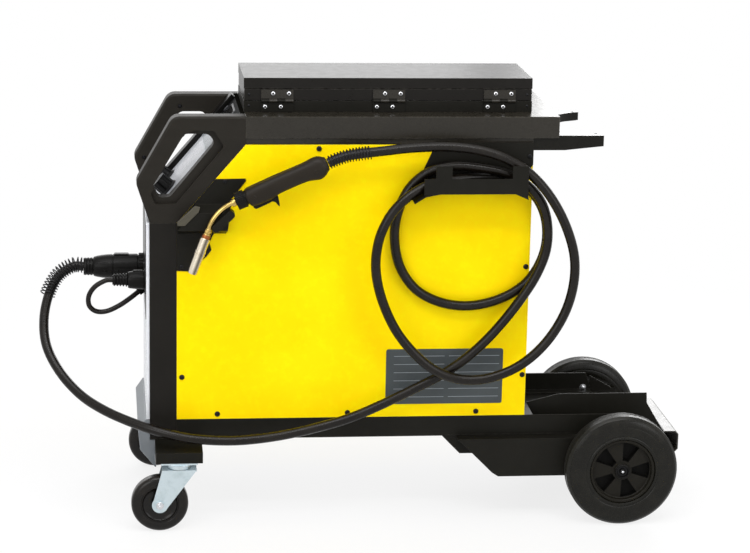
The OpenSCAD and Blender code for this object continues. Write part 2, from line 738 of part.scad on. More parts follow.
module bottle_yoke() color(warm_black) {
    low_z = cab_top - 11;
    lip = 15;
    hole_r = cradle_r + yoke_t + yoke_hole + 1;
    hole_y = sqrt(pow(hole_r, 2) - pow(axle_x - yoke_x1 + 11, 2));
    difference() {
        union() {
            block([cab_x1, -yoke_y, yoke_z - yoke_t], [yoke_x1, yoke_y, yoke_z]);
            block([cab_x1, -yoke_y, low_z], [cab_x1 + yoke_t, yoke_y, yoke_z]);
            both_sides() side_plate([[cab_x1, low_z], [cab_x1 + 56, low_z], [yoke_x1, low_z + 7],
                [yoke_x1, yoke_z], [cab_x1, yoke_z]], yoke_y - yoke_t, yoke_y);
            intersection() {
                rod_z([axle_x, 0, yoke_z - lip], lip, cradle_r + yoke_t);
                block([cab_x1, -yoke_y, low_z], [yoke_x1, yoke_y, yoke_z]);
            }
        }
        rod_z([axle_x, 0, low_z - 1], yoke_z - low_z + 2, cradle_r);
        for (s = [-1, 1]) rod_z([yoke_x1 - 11, s * hole_y, yoke_z - 2 * lip], 3 * lip, yoke_hole);
    }
}

module panel_screws() color(black) {
    head_h = 2.4;
    head_r = 4.75;
    edge = 6.5;
    on_sheet = concat(at_cab([[245, -7]]),
        at_foot([[9, 77], [71.5, 9], [302, 8.5], [532, 8], [cab_len - edge, 272.5], [cab_len - edge, 75]]));
    for (p = on_sheet) rod_y([p[0], -hw - head_h, p[1]], head_h, head_r);
    on_plate = concat(at_torch([[83, -63], [8.3, -214]]), at_cab([[cab_len - edge, -20]]));
    for (p = on_plate) rod_y([p[0], -hw - hanger_t - head_h, p[1]], head_h, head_r - 1);
}

module torch_holder() color(black) {
    plate_t = 2;
    side_plate(at_torch([[66.7, -59.7], [118.4, -59], [119, -63], [94, -95], [56, -172], [60, -185], [51, -197],
        [21, -223], [0, -222], [0, -137.2]]), -hw - plate_t, -hw);
    // The strap bulges out between two folds to carry the peg that the torch's neck hangs on
    out_y = -hw - 29;
    fold = at_torch([[0, -103], [0, -156]]);
    intersection() {
        front_plate([[-hw - plate_t / 2, fold[0][1]], [out_y, fold[0][1] - 11], [out_y, fold[1][1] + 11],
            [-hw - plate_t / 2, fold[1][1]], [-hw - plate_t / 2, fold[1][1] + 2.5], [out_y + plate_t, fold[1][1] + 12],
            [out_y + plate_t, fold[0][1] - 12], [-hw - plate_t / 2, fold[0][1] - 2.5]],
            cab_x0 + 1, cab_x0 + 93);
        side_plate(at_torch([[1, -157], [1, -144], [32, -109], [32, -102], [93, -102], [85, -157]]), -hw - 40, -hw);
    }
    peg_r = 7;
    translate([neck_c[0], 0, neck_c[1]]) rotate([0, -peg_a, 0]) {
        for (u = [-peg_from, peg_to]) rod_y([u, torch_y - 8, peg_out], out_y - torch_y + 9, peg_r);
        block([-peg_from, torch_y - 8, peg_out - peg_r], [peg_to, out_y + 1, peg_out + peg_r]);
    }
}

module cable_hanger() color(black) {
    t = hanger_t;
    z = hanger_z;
    shelf = [[hanger_x0 - 16, z - 17], [hanger_x0 + 3, z - 5], [hanger_x0 + 28, z], [hanger_x1 - 14, z],
        [hanger_x1 + 9, z - 10], [hanger_x1 + 9, z - 10 - t], [hanger_x1 - 14, z - t],
        [hanger_x0 + 28, z - t], [hanger_x0 + 3, z - 5 - t], [hanger_x0 - 16, z - 17 - t]];
    side_plate(shelf, hanger_y, -hw);
    side_plate([[hanger_x0 + 1, z - 5], [hanger_x0 + 1, z + 20], [hanger_x0 + 27, cab_top + 4],
        [cab_x1, cab_top + 4], [cab_x1, cab_top - 35], [cab_x1 - 4, cab_top - 41], [hanger_x1 + 9, z - 11],
        [hanger_x1 - 14, z - 1], [hanger_x0 + 28, z - 1]], -hw - t, -hw);
    tab_w = 28;
    tab_h = 22;
    lip_h = 25;
    side_plate([[hanger_x0, z - 4], [hanger_x0, z + lip_h], [hanger_x0 + 20, z + lip_h],
        [hanger_x0 + 20, z + lip_h + tab_h], [hanger_x0 + 20 + tab_w, z + lip_h + tab_h],
        [hanger_x0 + 20 + tab_w, z + lip_h], [hanger_x1 - 20, z + lip_h], [hanger_x1 - 20, z + lip_h + tab_h],
        [hanger_x1 - 20 + tab_w, z + lip_h + tab_h], [hanger_x1 - 20 + tab_w, z - 9],
        [hanger_x1 - 14, z - 1], [hanger_x0 + 28, z - 1]], hanger_y, hanger_y + t);
}

module access_door() color(yellow) difference() {
    union() {
        side_plate([[cab_x0 + door_gap, cab_z + door_gap], [door_x1, cab_z + door_gap],
            [door_x1, cab_top - door_gap], [cab_x0 + diag_x + door_gap, cab_top - door_gap],
            [cab_x0 + door_gap, cab_top + diag_z - door_gap]], hw - sheet, hw);
        for (z = door_hinge_zs) {
            rod_z([door_axis_x, door_axis_y, z], 40, knuckle_r);
            block([door_x1 - 24, hw, z], [door_axis_x - 2.2, hw + 2, z + 40]);
            block([door_axis_x - 3, hw, z], [door_axis_x, hw + 2, z + 40]);
        }
    }
    for (z = door_hinge_zs) rod_z([door_axis_x, door_axis_y, z - 1], 42, pin_r + run);
    rod_y([latch_x, hw - sheet - 1, latch_z], sheet + 2, latch_shaft + run);
}

module door_latch() color(zinc) {
    tongue = 34;
    rod_y([latch_x, hw + play, latch_z], 4, 11);
    rod_y([latch_x, hw - 20, latch_z], 20 + play, latch_shaft);
    rod_y([latch_x, hw - sheet - play - 3, latch_z], 3, latch_shaft + 3);
    block([latch_x - 6, hw - 20, latch_z - 6], [latch_x + 6, hw - 16, latch_z + tongue]);
}

// ---- Toolbox ----

module toolbox_tray() color(black) difference() {
    block([box_x0, -box_w / 2, cover_z], [box_x1, box_w / 2, tray_top]);
    block([box_x0 + box_t, -box_w / 2 + box_t, cover_z + box_t], [box_x1 - box_t, box_w / 2 - box_t, tray_top + 1]);
}

module toolbox_lid() color(warm_black) {
    crease = lid_z + lid_h / 2;
    half = box_w / 2;
    lean = 1.5;
    difference() {
        front_plate([[-half, lid_z], [half, lid_z], [half, crease], [half - lean, lid_top],
            [-half + lean, lid_top], [-half, crease]], box_x0, box_x1);
        front_plate([[-half + box_t, lid_z - 1], [half - box_t, lid_z - 1], [half - box_t, crease],
            [half - box_t - lean, lid_top - box_t], [-half + box_t + lean, lid_top - box_t],
            [-half + box_t, crease]], box_x0 + box_t, box_x1 - box_t);
    }
}

// Each hinge has four fingers: tray, lid, tray, lid, from the front
leaf_w = 4 * knuckle;
finger_gap = 0.3;
leaf_y = -box_w / 2 - leaf_t;
clear_z = knuckle_r + 0.8;
module fingers(x, first, up) for (i = [first, first + 2]) {
    a = x - leaf_w / 2 + i * knuckle + finger_gap / 2;
    rod_x([a, lid_axis_y, lid_axis_z], knuckle - finger_gap, knuckle_r);
    block([a, leaf_y, lid_axis_z - (up ? 0 : clear_z)],
        [a + knuckle - finger_gap, -box_w / 2 - play, lid_axis_z + (up ? clear_z : 0)]);
}
module buttons(x, dz, xs) for (dx = xs)
    rod_y([x - leaf_w / 2 + dx, leaf_y - 1.8, lid_axis_z + dz], 2, 3.4);

module fixed_hinges() color(black) {
    for (x = hinge_xs) {
        difference() {
            fingers(x, 0, false);
            rod_x([x - leaf_w / 2 - 1, lid_axis_y, lid_axis_z], leaf_w + 2, pin_r);
        }
        rod_x([x - leaf_w / 2, lid_axis_y, lid_axis_z], leaf_w, pin_r);
        block([x - leaf_w / 2, leaf_y, cover_z + 0.5], [x + leaf_w / 2, -box_w / 2, lid_axis_z - clear_z]);
        buttons(x, -10.4, [6.8, 34.2]);
    }
    for (z = door_hinge_zs, s = [0, 1]) {
        rod_z([door_axis_x, door_axis_y, z + (s == 0 ? -12.4 : 40.4)], 12, knuckle_r);
        block([door_axis_x, hw, z + (s == 0 ? -12.4 : 40.4)], [door_axis_x + 22, hw + 2, z + (s == 0 ? -0.4 : 52.4)]);
        if (s == 0) rod_z([door_axis_x, door_axis_y, z - 12.4], 64.8, pin_r);
    }
}

module lid_hinges() color("#5a554c") for (x = hinge_xs) {
    difference() {
        fingers(x, 1, true);
        rod_x([x - leaf_w / 2 - 1, lid_axis_y, lid_axis_z], leaf_w + 2, pin_r + run);
    }
    block([x - leaf_w / 2, leaf_y, lid_axis_z + clear_z], [x + leaf_w / 2, -box_w / 2, lid_axis_z + 19]);
    buttons(x, 12.7, [20.7, 48.1]);
}

// ---- Torch ----

// The grip's axis runs from the neck's root to the place where the cable comes out
torch_tail = cable_route[len(cable_route) - 1];
grip_axis = [torch_tail[0] - neck_root[0], torch_tail[2] - neck_root[1]];
grip_a = atan2(grip_axis[1], grip_axis[0]);
tail_u = norm(grip_axis);
neck_turn = nozzle_a - grip_a;
neck_start = neck_root - neck_lead * [cos(grip_a), sin(grip_a)];
neck_c = neck_start + neck_R * [sin(grip_a), -cos(grip_a)];
neck_end = neck_c - neck_R * [sin(nozzle_a), -cos(nozzle_a)];
peg_out = neck_R - neck_r - 12.5;
diffuser_u = 6;
nozzle_u = 22;
nozzle_l = 66;
nozzle_bore = 5.5;

module on_torch() {
    translate([neck_root[0], torch_y, neck_root[1]]) rotate([0, -grip_a, 0]) children();
}
module on_nozzle() {
    translate([neck_end[0], torch_y, neck_end[1]]) rotate([0, 180 - nozzle_a, 0]) children();
}

trigger_pin = [28, -16];
slot_y = 6.6;
module torch_grip() color(black) on_torch() {
    half_y = grip_w / 2;
    half_v = 24;
    section = [for (a = [0:12:348]) [half_y * sign(cos(a)) * sqrt(abs(cos(a))),
        half_v * sign(sin(a)) * sqrt(abs(sin(a)))]];
    end_u = tail_u - 6;
    difference() {
        intersection() {
            side_plate([[collar_l, 14], [24, 15], [76, 17], [136, 17.5], [154, 19.6], [end_u, 14], [end_u, -15],
                [147, -21.5], [128, -15], [72, -15.5], [62, -20], [24, -20], [collar_l, -13]], -half_y, half_y);
            front_plate(section, 0, tail_u);
        }
        side_plate([[21, -9], [73, -9], [73, -30], [21, -30]], -slot_y, slot_y);
    }
    rod_y([trigger_pin[0], -slot_y, trigger_pin[1]], 2 * slot_y, pin_r);
    rod_x([end_u, 0, 0], tail_u - end_u, 13);
}

module torch_trigger() color(warm_black) on_torch() {
    half = slot_y - play;
    difference() {
        side_plate([[23.5, -14], [24, -22], [27, -24.6], [58, -23], [62, -26], [65, -36], [67.5, -30], [70, -18],
            [66, -14]], -half, half);
        rod_y([trigger_pin[0], -half - 1, trigger_pin[1]], 2 * half + 2, pin_r + run);
    }
}

module torch_collar() color(black) on_torch() {
    ribs = 18;
    star = [for (i = [0:2 * ribs - 1]) let (r = collar_r - (i % 2 == 0 ? 0 : 1.2))
        r * [cos(i * 180 / ribs), sin(i * 180 / ribs)]];
    front_plate(star, 2, collar_l - 2);
    rod_x([0, 0, 0], 2, collar_r - 2);
    rod_x([collar_l - 2, 0, 0], 2, collar_r - 1.5);
}

module torch_neck() color(brass) {
    on_torch() rod_x([-neck_lead, 0, 0], neck_lead, neck_r);
    translate([neck_c[0], torch_y, neck_c[1]]) rotate([90, 0, 0]) rotate([0, 0, 90 + grip_a])
        rotate_extrude(angle = neck_turn) translate([neck_R, 0]) circle(r = neck_r);
    on_nozzle() {
        rod_x([0, 0, 0], diffuser_u, neck_r);
        rod_x([diffuser_u, 0, 0], nozzle_u - diffuser_u, diffuser_r);
        rod_x([nozzle_u, 0, 0], 12, nozzle_bore - run);
        rod_x([nozzle_u + 12, 0, 0], nozzle_l - 16, 2.5);
    }
}

module torch_nozzle() color(zinc) on_nozzle() difference() {
    union() {
        rod_x([nozzle_u, 0, 0], nozzle_l, nozzle_d / 2);
        rod_x([nozzle_u + 24, 0, 0], 3, nozzle_d / 2 + 0.8);
        rod_x([nozzle_u + 29, 0, 0], 2, nozzle_d / 2 + 0.6);
    }
    rod_x([nozzle_u - 1, 0, 0], nozzle_l + 2, nozzle_bore);
}

// ---- Cables ----

cable_line = smooth(cable_route);
cable_table = index_table(cable_line);
cable_len = cable_table[len(cable_table) - 1][0];
close_n = 11;
module torch_cable() color(black) {
    a = close_n * close_step;
    b = cable_len - a;
    n = ceil((b - a) / cable_step);
    stations = concat([for (i = [0:close_n - 1]) i * close_step], [for (i = [0:n]) a + (b - a) * i / n],
        [for (i = [1:close_n]) b + i * close_step]);
    cord(cable_line, stations, cable_d / 2, cable_sides);
    pts = [for (s = [0:gap_step:cable_len]) place(cable_line, cable_table, s)];
    apart = ceil(5 * cable_d / gap_step);
    echo(str("torch cable: length ", cable_len, " mm, least gap to itself ",
        min([for (i = [0:len(pts) - 1 - apart], j = [i + apart:len(pts) - 1]) norm(pts[i] - pts[j])]) - cable_d,
        " mm"));
}
module torch_spring() color(black) bend_spring(cable_line, cable_len - 78, cable_len, 14);
module plug_spring() color(black) bend_spring(cable_line, 0, 92, 16);

module torch_plug() color(black) {
    mouth_x = cable_route[0][0];
    seat_x = face_x - flange_t;
    nut = 6;
    cup = 18;
    at = [0, euro_y, socket_z];
    rod_x(at + [seat_x - nut, 0, 0], nut, 24);
    rod_x(at + [mouth_x + cup, 0, 0], seat_x - nut - mouth_x - cup, 21);
    rod_x(at + [mouth_x + cup + 34, 0, 0], seat_x - nut - mouth_x - cup - 34, 22.5);
    rod_x(at + [mouth_x, 0, 0], cup, 16);
    rod_x(at + [seat_x, 0, 0], 22, 8 - run);
}

module polarity_plug() color(black) {
    mouth_x = lead_route[0][0];
    seat_x = face_x - flange_t;
    relief = 28;
    at = [0, polarity_y, socket_z];
    rod_x(at + [mouth_x + relief, 0, 0], seat_x - mouth_x - relief, 16.5);
    rod_x(at + [mouth_x, 0, 0], relief, 9.5);
    for (i = [0:4]) rod_x(at + [mouth_x + 1 + i * 5.4, 0, 0], 3.2, 11.5);
    rod_x(at + [seat_x, 0, 0], 18, 6 - run);
}

module polarity_lead() color(black) {
    line = smooth(lead_route);
    table = index_table(line);
    lead_len = table[len(table) - 1][0];
    n = ceil(lead_len / lead_step);
    echo(str("polarity lead: length ", lead_len, " mm"));
    cord(line, [for (i = [0:n]) lead_len * i / n], lead_d / 2, cable_sides);
}

// ---- Inside and at the back ----

module power_unit() color(zinc) {
    tray = 3;
    set_back = 150;
    x0 = cab_x0 + set_back;
    y0 = -hw + rail_w + 4;
    z0 = rail_z + tray;
    block([x0, y0, rail_z], [x0 + 330, wall_y - 4, z0]);
    // Transformer: core with two windings
    block([x0 + 20, -86, z0], [x0 + 150, -22, z0 + 110]);
    for (x = [x0 + 34, x0 + 88]) block([x, -98, z0 + 14], [x + 48, -10, z0 + 96]);
    // Rectifier heat sink with its fins
    block([x0 + 190, -92, z0], [x0 + 310, -84, z0 + 200]);
    for (i = [0:7]) block([x0 + 192 + i * 16, -84.5, z0], [x0 + 195 + i * 16, -30, z0 + 190]);
}

module fan_frame() color(black) {
    depth = 25;
    x1 = cab_x1 - sheet;
    half = fan_d / 2 + 5;
    bar = 8;
    difference() {
        block([x1 - depth, fan_y - half, fan_z - half], [x1, fan_y + half, fan_z + half]);
        rod_x([x1 - depth - 1, fan_y, fan_z], depth + 2, fan_d / 2 + 2);
    }
    for (a = [0, 90]) translate([x1 - depth, fan_y, fan_z]) rotate([a, 0, 0])
        translate([0, -half + 1, -bar / 2]) cube([3, 2 * half - 2, bar]);
    rod_x([x1 - depth, fan_y, fan_z], depth - 2, fan_shaft);
}

module fan() color("#4a4a4e") {
    depth = 25;
    hub_l = 14;
    x0 = cab_x1 - sheet - depth + 3 + play;
    blades = 7;
    difference() {
        union() {
            rod_x([x0, fan_y, fan_z], hub_l, 19);
            intersection() {
                for (i = [0:blades - 1]) translate([x0 + hub_l / 2, fan_y, fan_z]) rotate([i * 360 / blades, 0, 0])
                    translate([0, 0, 16]) rotate([0, 0, 40]) translate([-1, -11, 0]) cube([2, 22, fan_d / 2 - 16]);
                rod_x([x0, fan_y, fan_z], hub_l, fan_d / 2);
            }
        }
        rod_x([x0 - 1, fan_y, fan_z], hub_l + 2, fan_shaft + run);
    }
}

module feed_unit() color(zinc) {
    wall = wall_y + sheet;
    face_y = euro_y - roll_w / 2 - 3;
    // Drive housing with the roll's shaft and the arm's pin
    block([roll_x - 50, wall, roll_z - 30], [roll_x + 45, face_y, socket_z - 12]);
    block([roll_x - 50, wall, socket_z - 12], [roll_x - 18, face_y, arm_z + 10]);
    rod_y([roll_x, face_y - 1, roll_z], roll_w + 6, roll_shaft);
    rod_y([roll_x, face_y + roll_w + 5, roll_z], 3, roll_shaft + 4);
    rod_y([arm_x, face_y - 1, arm_z], roll_w + 6, arm_pin);
    rod_y([arm_x, face_y + roll_w + 5, arm_z], 3, arm_pin + 3);
    // Spool hub with its end cap
    rod_y([spool_x, wall, spool_z], spool_y + spool_w + play - wall, spool_hub_r);
    rod_y([spool_x, wall, spool_z], spool_y - play - wall, spool_hub_r + 12);
    rod_y([spool_x, spool_y + spool_w + play, spool_z], 6, spool_hub_r + 8);
}

module wire_spool() color("#c88a5a") {
    flange = 4;
    wound_r = spool_d / 2 - 18;
    r = spool_d / 2;
    translate([spool_x, spool_y, spool_z]) turned_y([[spool_hub_r + run, 0], [r, 0], [r, flange],
        [wound_r, flange], [wound_r, spool_w - flange], [r, spool_w - flange], [r, spool_w],
        [spool_hub_r + run, spool_w]]);
}

module feed_roll() color(zinc) {
    translate([roll_x, euro_y - roll_w / 2, roll_z]) turned_y([[roll_shaft + run, 0], [roll_r, 0],
        [roll_r, roll_w / 2 - 1], [roll_r - 0.8, roll_w / 2], [roll_r, roll_w / 2 + 1], [roll_r, roll_w],
        [roll_shaft + run, roll_w]]);
}

module pressure_arm() color(black) {
    idler_r = 11;
    y0 = euro_y - roll_w / 2;
    idler_z = socket_z + 0.5 + idler_r;
    difference() {
        union() {
            side_plate([[arm_x - 9, arm_z - 8], [arm_x + 4, arm_z - 9], [roll_x - 4, idler_z - 4],
                [roll_x + 22, idler_z + 6], [roll_x + 26, idler_z + 16], [arm_x + 8, arm_z + 9],
                [arm_x - 9, arm_z + 8]], y0, y0 + roll_w);
            rod_y([roll_x, y0 + 1, idler_z], roll_w - 2, idler_r);
        }
        rod_y([arm_x, y0 - 1, arm_z], roll_w + 2, arm_pin + run);
    }
}

module mains_gland() color(black) {
    at = [0, mains_y, mains_z];
    difference() {
        union() {
            rod_x(at + [cab_x1 - sheet - 10, 0, 0], 14, gland_r);
            rod_x(at + [cab_x1, 0, 0], 6, gland_r + 5, $fn = 6);
            rod_x(at + [cab_x1 + 6, 0, 0], 16, gland_r + 1);
        }
        rod_x(at + [cab_x1 - sheet - 11, 0, 0], 50, 6);
    }
}

module gas_inlet() color(brass) {
    at = [0, gas_y, gas_z];
    difference() {
        union() {
            rod_x(at + [cab_x1 - sheet - 12, 0, 0], 16, gas_r);
            rod_x(at + [cab_x1, 0, 0], 6, gas_r + 4);
            rod_x(at + [cab_x1 + 6, 0, 0], 14, gas_r - 1.5);
        }
        rod_x(at + [cab_x1 - sheet - 13, 0, 0], 40, 3);
    }
}

module power_switch() color(black) {
    at = [0, switch_y, switch_z];
    rod_x(at + [cab_x1 + play, 0, 0], 12, switch_r);
    block([cab_x1 + play + 12, switch_y - 4, switch_z - switch_r + 1],
        [cab_x1 + play + 24, switch_y + 4, switch_z + switch_r - 1]);
    rod_x(at + [cab_x1 - sheet - 10, 0, 0], 10 + sheet + play + 1, switch_shaft);
    rod_x(at + [cab_x1 - sheet - 10, 0, 0], 10 - play, switch_shaft + 3);
}

// ---- Left and right copies that move on their own ----

module rear_tyre_near() rear_tyre(-1);
module rear_tyre_far() rear_tyre(1);
module rear_rim_near() rear_rim(-1);
module rear_rim_far() rear_rim(1);
module caster_fork_near() caster_fork(-1);
module caster_fork_far() caster_fork(1);
module caster_wheel_near() caster_wheel(-1);
module caster_wheel_far() caster_wheel(1);

base_pan();
bottom_rails();
axle_carrier();
axle();
front_posts();
handle_near();
handle_far();
top_cover();
side_panel();
rear_panel();
partition();
front_panel();
control_panel();
front_cowl();
caster_hoods();
caster_plates();
bottle_guide();
rear_bumper();
bottle_yoke();
toolbox_tray();
fixed_hinges();
torch_holder();
cable_hanger();
torch_grip();
torch_collar();
torch_neck();
torch_nozzle();
torch_spring();
front_sockets();
panel_screws();
power_unit();
feed_unit();
mains_gland();
gas_inlet();
fan_frame();
torch_cable();
torch_plug();
plug_spring();
polarity_plug();
polarity_lead();
toolbox_lid();
lid_hinges();
access_door();
door_latch();
rear_tyre_near();
rear_rim_near();
rear_tyre_far();
rear_rim_far();
caster_fork_near();
caster_wheel_near();
caster_fork_far();
caster_wheel_far();
torch_trigger();
wire_knob();
volt_knob();
power_switch();
wire_spool();
feed_roll();
pressure_arm();
fan();
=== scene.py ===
"""Finishes and fine pieces of a wire-feed welder on its cart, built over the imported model."""
import json
import logging
import math
from dataclasses import dataclass, field
from enum import Enum
from typing import Any, Callable, Iterable, Optional, Sequence

import bmesh
import bpy
from mathutils import Matrix, Vector


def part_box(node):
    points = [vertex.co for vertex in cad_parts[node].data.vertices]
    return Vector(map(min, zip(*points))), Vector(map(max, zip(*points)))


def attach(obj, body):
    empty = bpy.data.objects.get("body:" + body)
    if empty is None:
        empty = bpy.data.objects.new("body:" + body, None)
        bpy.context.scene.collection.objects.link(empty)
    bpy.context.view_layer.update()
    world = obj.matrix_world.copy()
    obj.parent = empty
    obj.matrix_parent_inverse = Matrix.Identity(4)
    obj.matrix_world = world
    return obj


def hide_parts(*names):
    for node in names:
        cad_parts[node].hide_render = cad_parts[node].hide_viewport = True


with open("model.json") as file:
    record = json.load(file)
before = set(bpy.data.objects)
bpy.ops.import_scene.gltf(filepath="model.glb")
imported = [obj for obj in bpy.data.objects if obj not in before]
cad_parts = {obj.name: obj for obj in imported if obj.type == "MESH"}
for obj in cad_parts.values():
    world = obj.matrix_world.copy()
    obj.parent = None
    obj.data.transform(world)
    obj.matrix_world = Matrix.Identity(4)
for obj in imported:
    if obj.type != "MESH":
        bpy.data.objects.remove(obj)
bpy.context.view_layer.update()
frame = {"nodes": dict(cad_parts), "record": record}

LOG = logging.getLogger("cart_welder")
MM = 0.001
# Points closer than this many metres are one point
WELD = 2e-6
# A point within this many millimetres of a plane is on it
ON_PLANE = 0.05
# The cabinet's front and top, in millimetres
FRONT_X = -415.0
TOP_Z = 677.0

Point = tuple[float, float, float]
Pair = tuple[float, float]
Colour = tuple[float, float, float, float]
Piece = bpy.types.Object


def at(x: float, y: float, z: float) -> Vector:
    """A place given in millimetres, in metres."""
    return Vector((x, y, z)) * MM


def linear(code: str) -> Colour:
    """A hex colour as the linear values that a shader takes.

    Args:
        code: Six hex digits.

    Returns:
        Red, green, blue and alpha.
    """
    parts = [int(code[i : i + 2], 16) / 255 for i in (0, 2, 4)]
    return (*[p / 12.92 if p <= 0.04045 else ((p + 0.055) / 1.055) ** 2.4 for p in parts], 1.0)


# ---- Node graphs ----


class Value:
    """A socket of a node graph that takes part in arithmetic."""

    def __init__(self, graph: "Graph", socket: bpy.types.NodeSocket) -> None:
        """Keeps the graph and the socket."""
        self.graph = graph
        self.socket = socket

    def combined(self, kind: str, first: Any, second: Any) -> "Value":
        """One Math node of two terms."""
        return self.graph.node("ShaderNodeMath", {"operation": kind}, {0: first, 1: second})

    def __add__(self, other: Any) -> "Value":
        """Sum."""
        return self.combined("ADD", self, other)

    __radd__ = __add__

    def __sub__(self, other: Any) -> "Value":
        """Difference."""
        return self.combined("SUBTRACT", self, other)

    def __rsub__(self, other: Any) -> "Value":
        """Difference, the other way round."""
        return self.combined("SUBTRACT", other, self)

    def __mul__(self, other: Any) -> "Value":
        """Product."""
        return self.combined("MULTIPLY", self, other)

    __rmul__ = __mul__

    def __pow__(self, other: Any) -> "Value":
        """Power."""
        return self.combined("POWER", self, other)

    def larger(self, other: Any) -> "Value":
        """The larger of the two."""
        return self.combined("MAXIMUM", self, other)

    def sine(self) -> "Value":
        """The sine of an angle in radians."""
        return self.graph.node("ShaderNodeMath", {"operation": "SINE"}, {0: self})

    def between(self, low: float, high: float) -> "Value":
        """Rises smoothly from 0 at low to 1 at high."""
        return self.graph.node(
            "ShaderNodeMapRange",
            {"interpolation_type": "SMOOTHSTEP"},
            {"Value": self, "From Min": low, "From Max": high},
        )


class Graph:
    """The node graph of a material or a world."""

    def __init__(self, owner: Any) -> None:
        """Opens the graph round its one shader.

        Args:
            owner: The material or the world.
        """
        owner.use_nodes = True
        self.tree = owner.node_tree
        self.shader = next(n for n in self.tree.nodes if n.type in ("BSDF_PRINCIPLED", "BACKGROUND"))
        self.place = self.node("ShaderNodeTexCoord", {}, {}, "Object")

    def node(self, kind: str, settings: dict[str, Any], inputs: dict[Any, Any], out: Any = 0) -> Value:
        """Adds a node.

        Args:
            kind: The node's type.
            settings: Attributes to set first.
            inputs: Numbers, colours or values for its sockets.
            out: Which output to hand on.

        Returns:
            That output.
        """
        made = self.tree.nodes.new(kind)
        for key, setting in settings.items():
            setattr(made, key, setting)
        for key, given in inputs.items():
            self.feed(made.inputs[key], given)
        return Value(self, made.outputs[out])

    def feed(self, socket: bpy.types.NodeSocket, given: Any) -> None:
        """Links a value to a socket, or sets the socket."""
        if isinstance(given, Value):
            self.tree.links.new(given.socket, socket)
        else:
            socket.default_value = given

    def set(self, **values: Any) -> None:
        """Sets or links the shader's sockets, named with underscores for spaces."""
        for key, given in values.items():
            self.feed(self.shader.inputs[key.replace("_", " ")], given)

    def stretched(self, x: float, y: float, z: float) -> Value:
        """Object coordinates scaled along each axis."""
        return self.node("ShaderNodeMapping", {}, {"Vector": self.place, "Scale": (x, y, z)})

    def noise(self, scale: float, detail: float = 3.0, rough: float = 0.5,
              over: Optional[Value] = None) -> Value:
        """Cloudy noise from 0 to 1, its scale per metre."""
        return self.node(
            "ShaderNodeTexNoise",
            {},
            {"Vector": over or self.place, "Scale": scale, "Detail": detail, "Roughness": rough},
        )

    def cells(self, scale: float) -> Value:
        """Distance in a pattern of rounded cells, its scale per metre."""
        return self.node("ShaderNodeTexVoronoi", {"feature": "SMOOTH_F1"},
                         {"Vector": self.place, "Scale": scale})

    def mark(self, name: str) -> Value:
        """A number kept on the mesh's faces or points."""
        return self.node("ShaderNodeAttribute", {"attribute_name": name}, {}, "Fac")

    def ray(self, kind: str) -> Value:
        """1 for rays of one kind, such as Camera or Glossy, and 0 for the rest."""
        return self.node("ShaderNodeLightPath", {}, {}, f"Is {kind} Ray")

    def mixed(self, amount: Any, first: Any, second: Any) -> Value:
        """A colour between two colours."""
        return self.node("ShaderNodeMix", {"data_type": "RGBA"}, {0: amount, 6: first, 7: second}, 2)

    def relief(self, height: Value, strength: float, depth_mm: float, under: Optional[Value] = None) -> Value:
        """A bumped normal.

        Args:
            height: The relief, from 0 to 1.
            strength: How much of it shows.
            depth_mm: Its full depth.
            under: A bumped normal that it lies on.

        Returns:
            The new normal.
        """
        given = {"Strength": strength, "Distance": depth_mm * MM, "Height": height}
        if under is not None:
            given["Normal"] = under
        return self.node("ShaderNodeBump", {}, given)


# ---- Finishes ----


def lighter(colour: Colour, gain: float, lift: float) -> Colour:
    """A linear colour made a little lighter, as dust and wear make it."""
    return (*[min(1.0, c * gain + lift) for c in colour[:3]], 1.0)


class Coating:
    """What all finishes share: a name, and a material built under it."""

    name: str

    def build(self) -> bpy.types.Material:
        """Makes the material."""
        material = bpy.data.materials.new(self.name)
        self.paint(Graph(material))
        return material

    def paint(self, g: Graph) -> None:
        """Sets the shader up, in each finish's own way."""
        raise NotImplementedError


@dataclass(frozen=True)
class PowderCoat(Coating):
    """Baked powder paint on sheet steel: fine orange peel, faint clouds, rubbed rims."""

    name: str
    colour: str
    rim: str
    rough: float = 0.42
    peel: float = 0.16
    shine: float = 0.3
    coat: float = 0.0

    def paint(self, g: Graph) -> None:
        """Sets the shader up."""
        clouds = g.noise(9, 2)
        dust = g.noise(60, 6, 0.65)
        fine = g.noise(900, 2, 0.6)
        rubbed = g.mark("rim") * g.noise(140, 4, 0.7).between(0.38, 0.62)
        base = linear(self.colour)
        dusty = lighter(base, 1.14, 0.0015)
        body = g.mixed(clouds.between(0.3, 0.7) * 0.6 + dust.between(0.45, 0.7) * 0.4, base, dusty)
        waves = g.relief(g.noise(70, 2), self.peel * 0.5, 0.4)
        g.set(
            Base_Color=g.mixed(rubbed * 0.65, body, linear(self.rim)),
            Roughness=self.rough + (dust - 0.5) * 0.14 + (fine - 0.5) * 0.08,
            Specular_IOR_Level=self.shine,
            Coat_Roughness=0.12,
            Coat_Weight=self.coat,
            Normal=g.relief(g.noise(420, 2, 0.5), self.peel, 0.25, waves),
        )


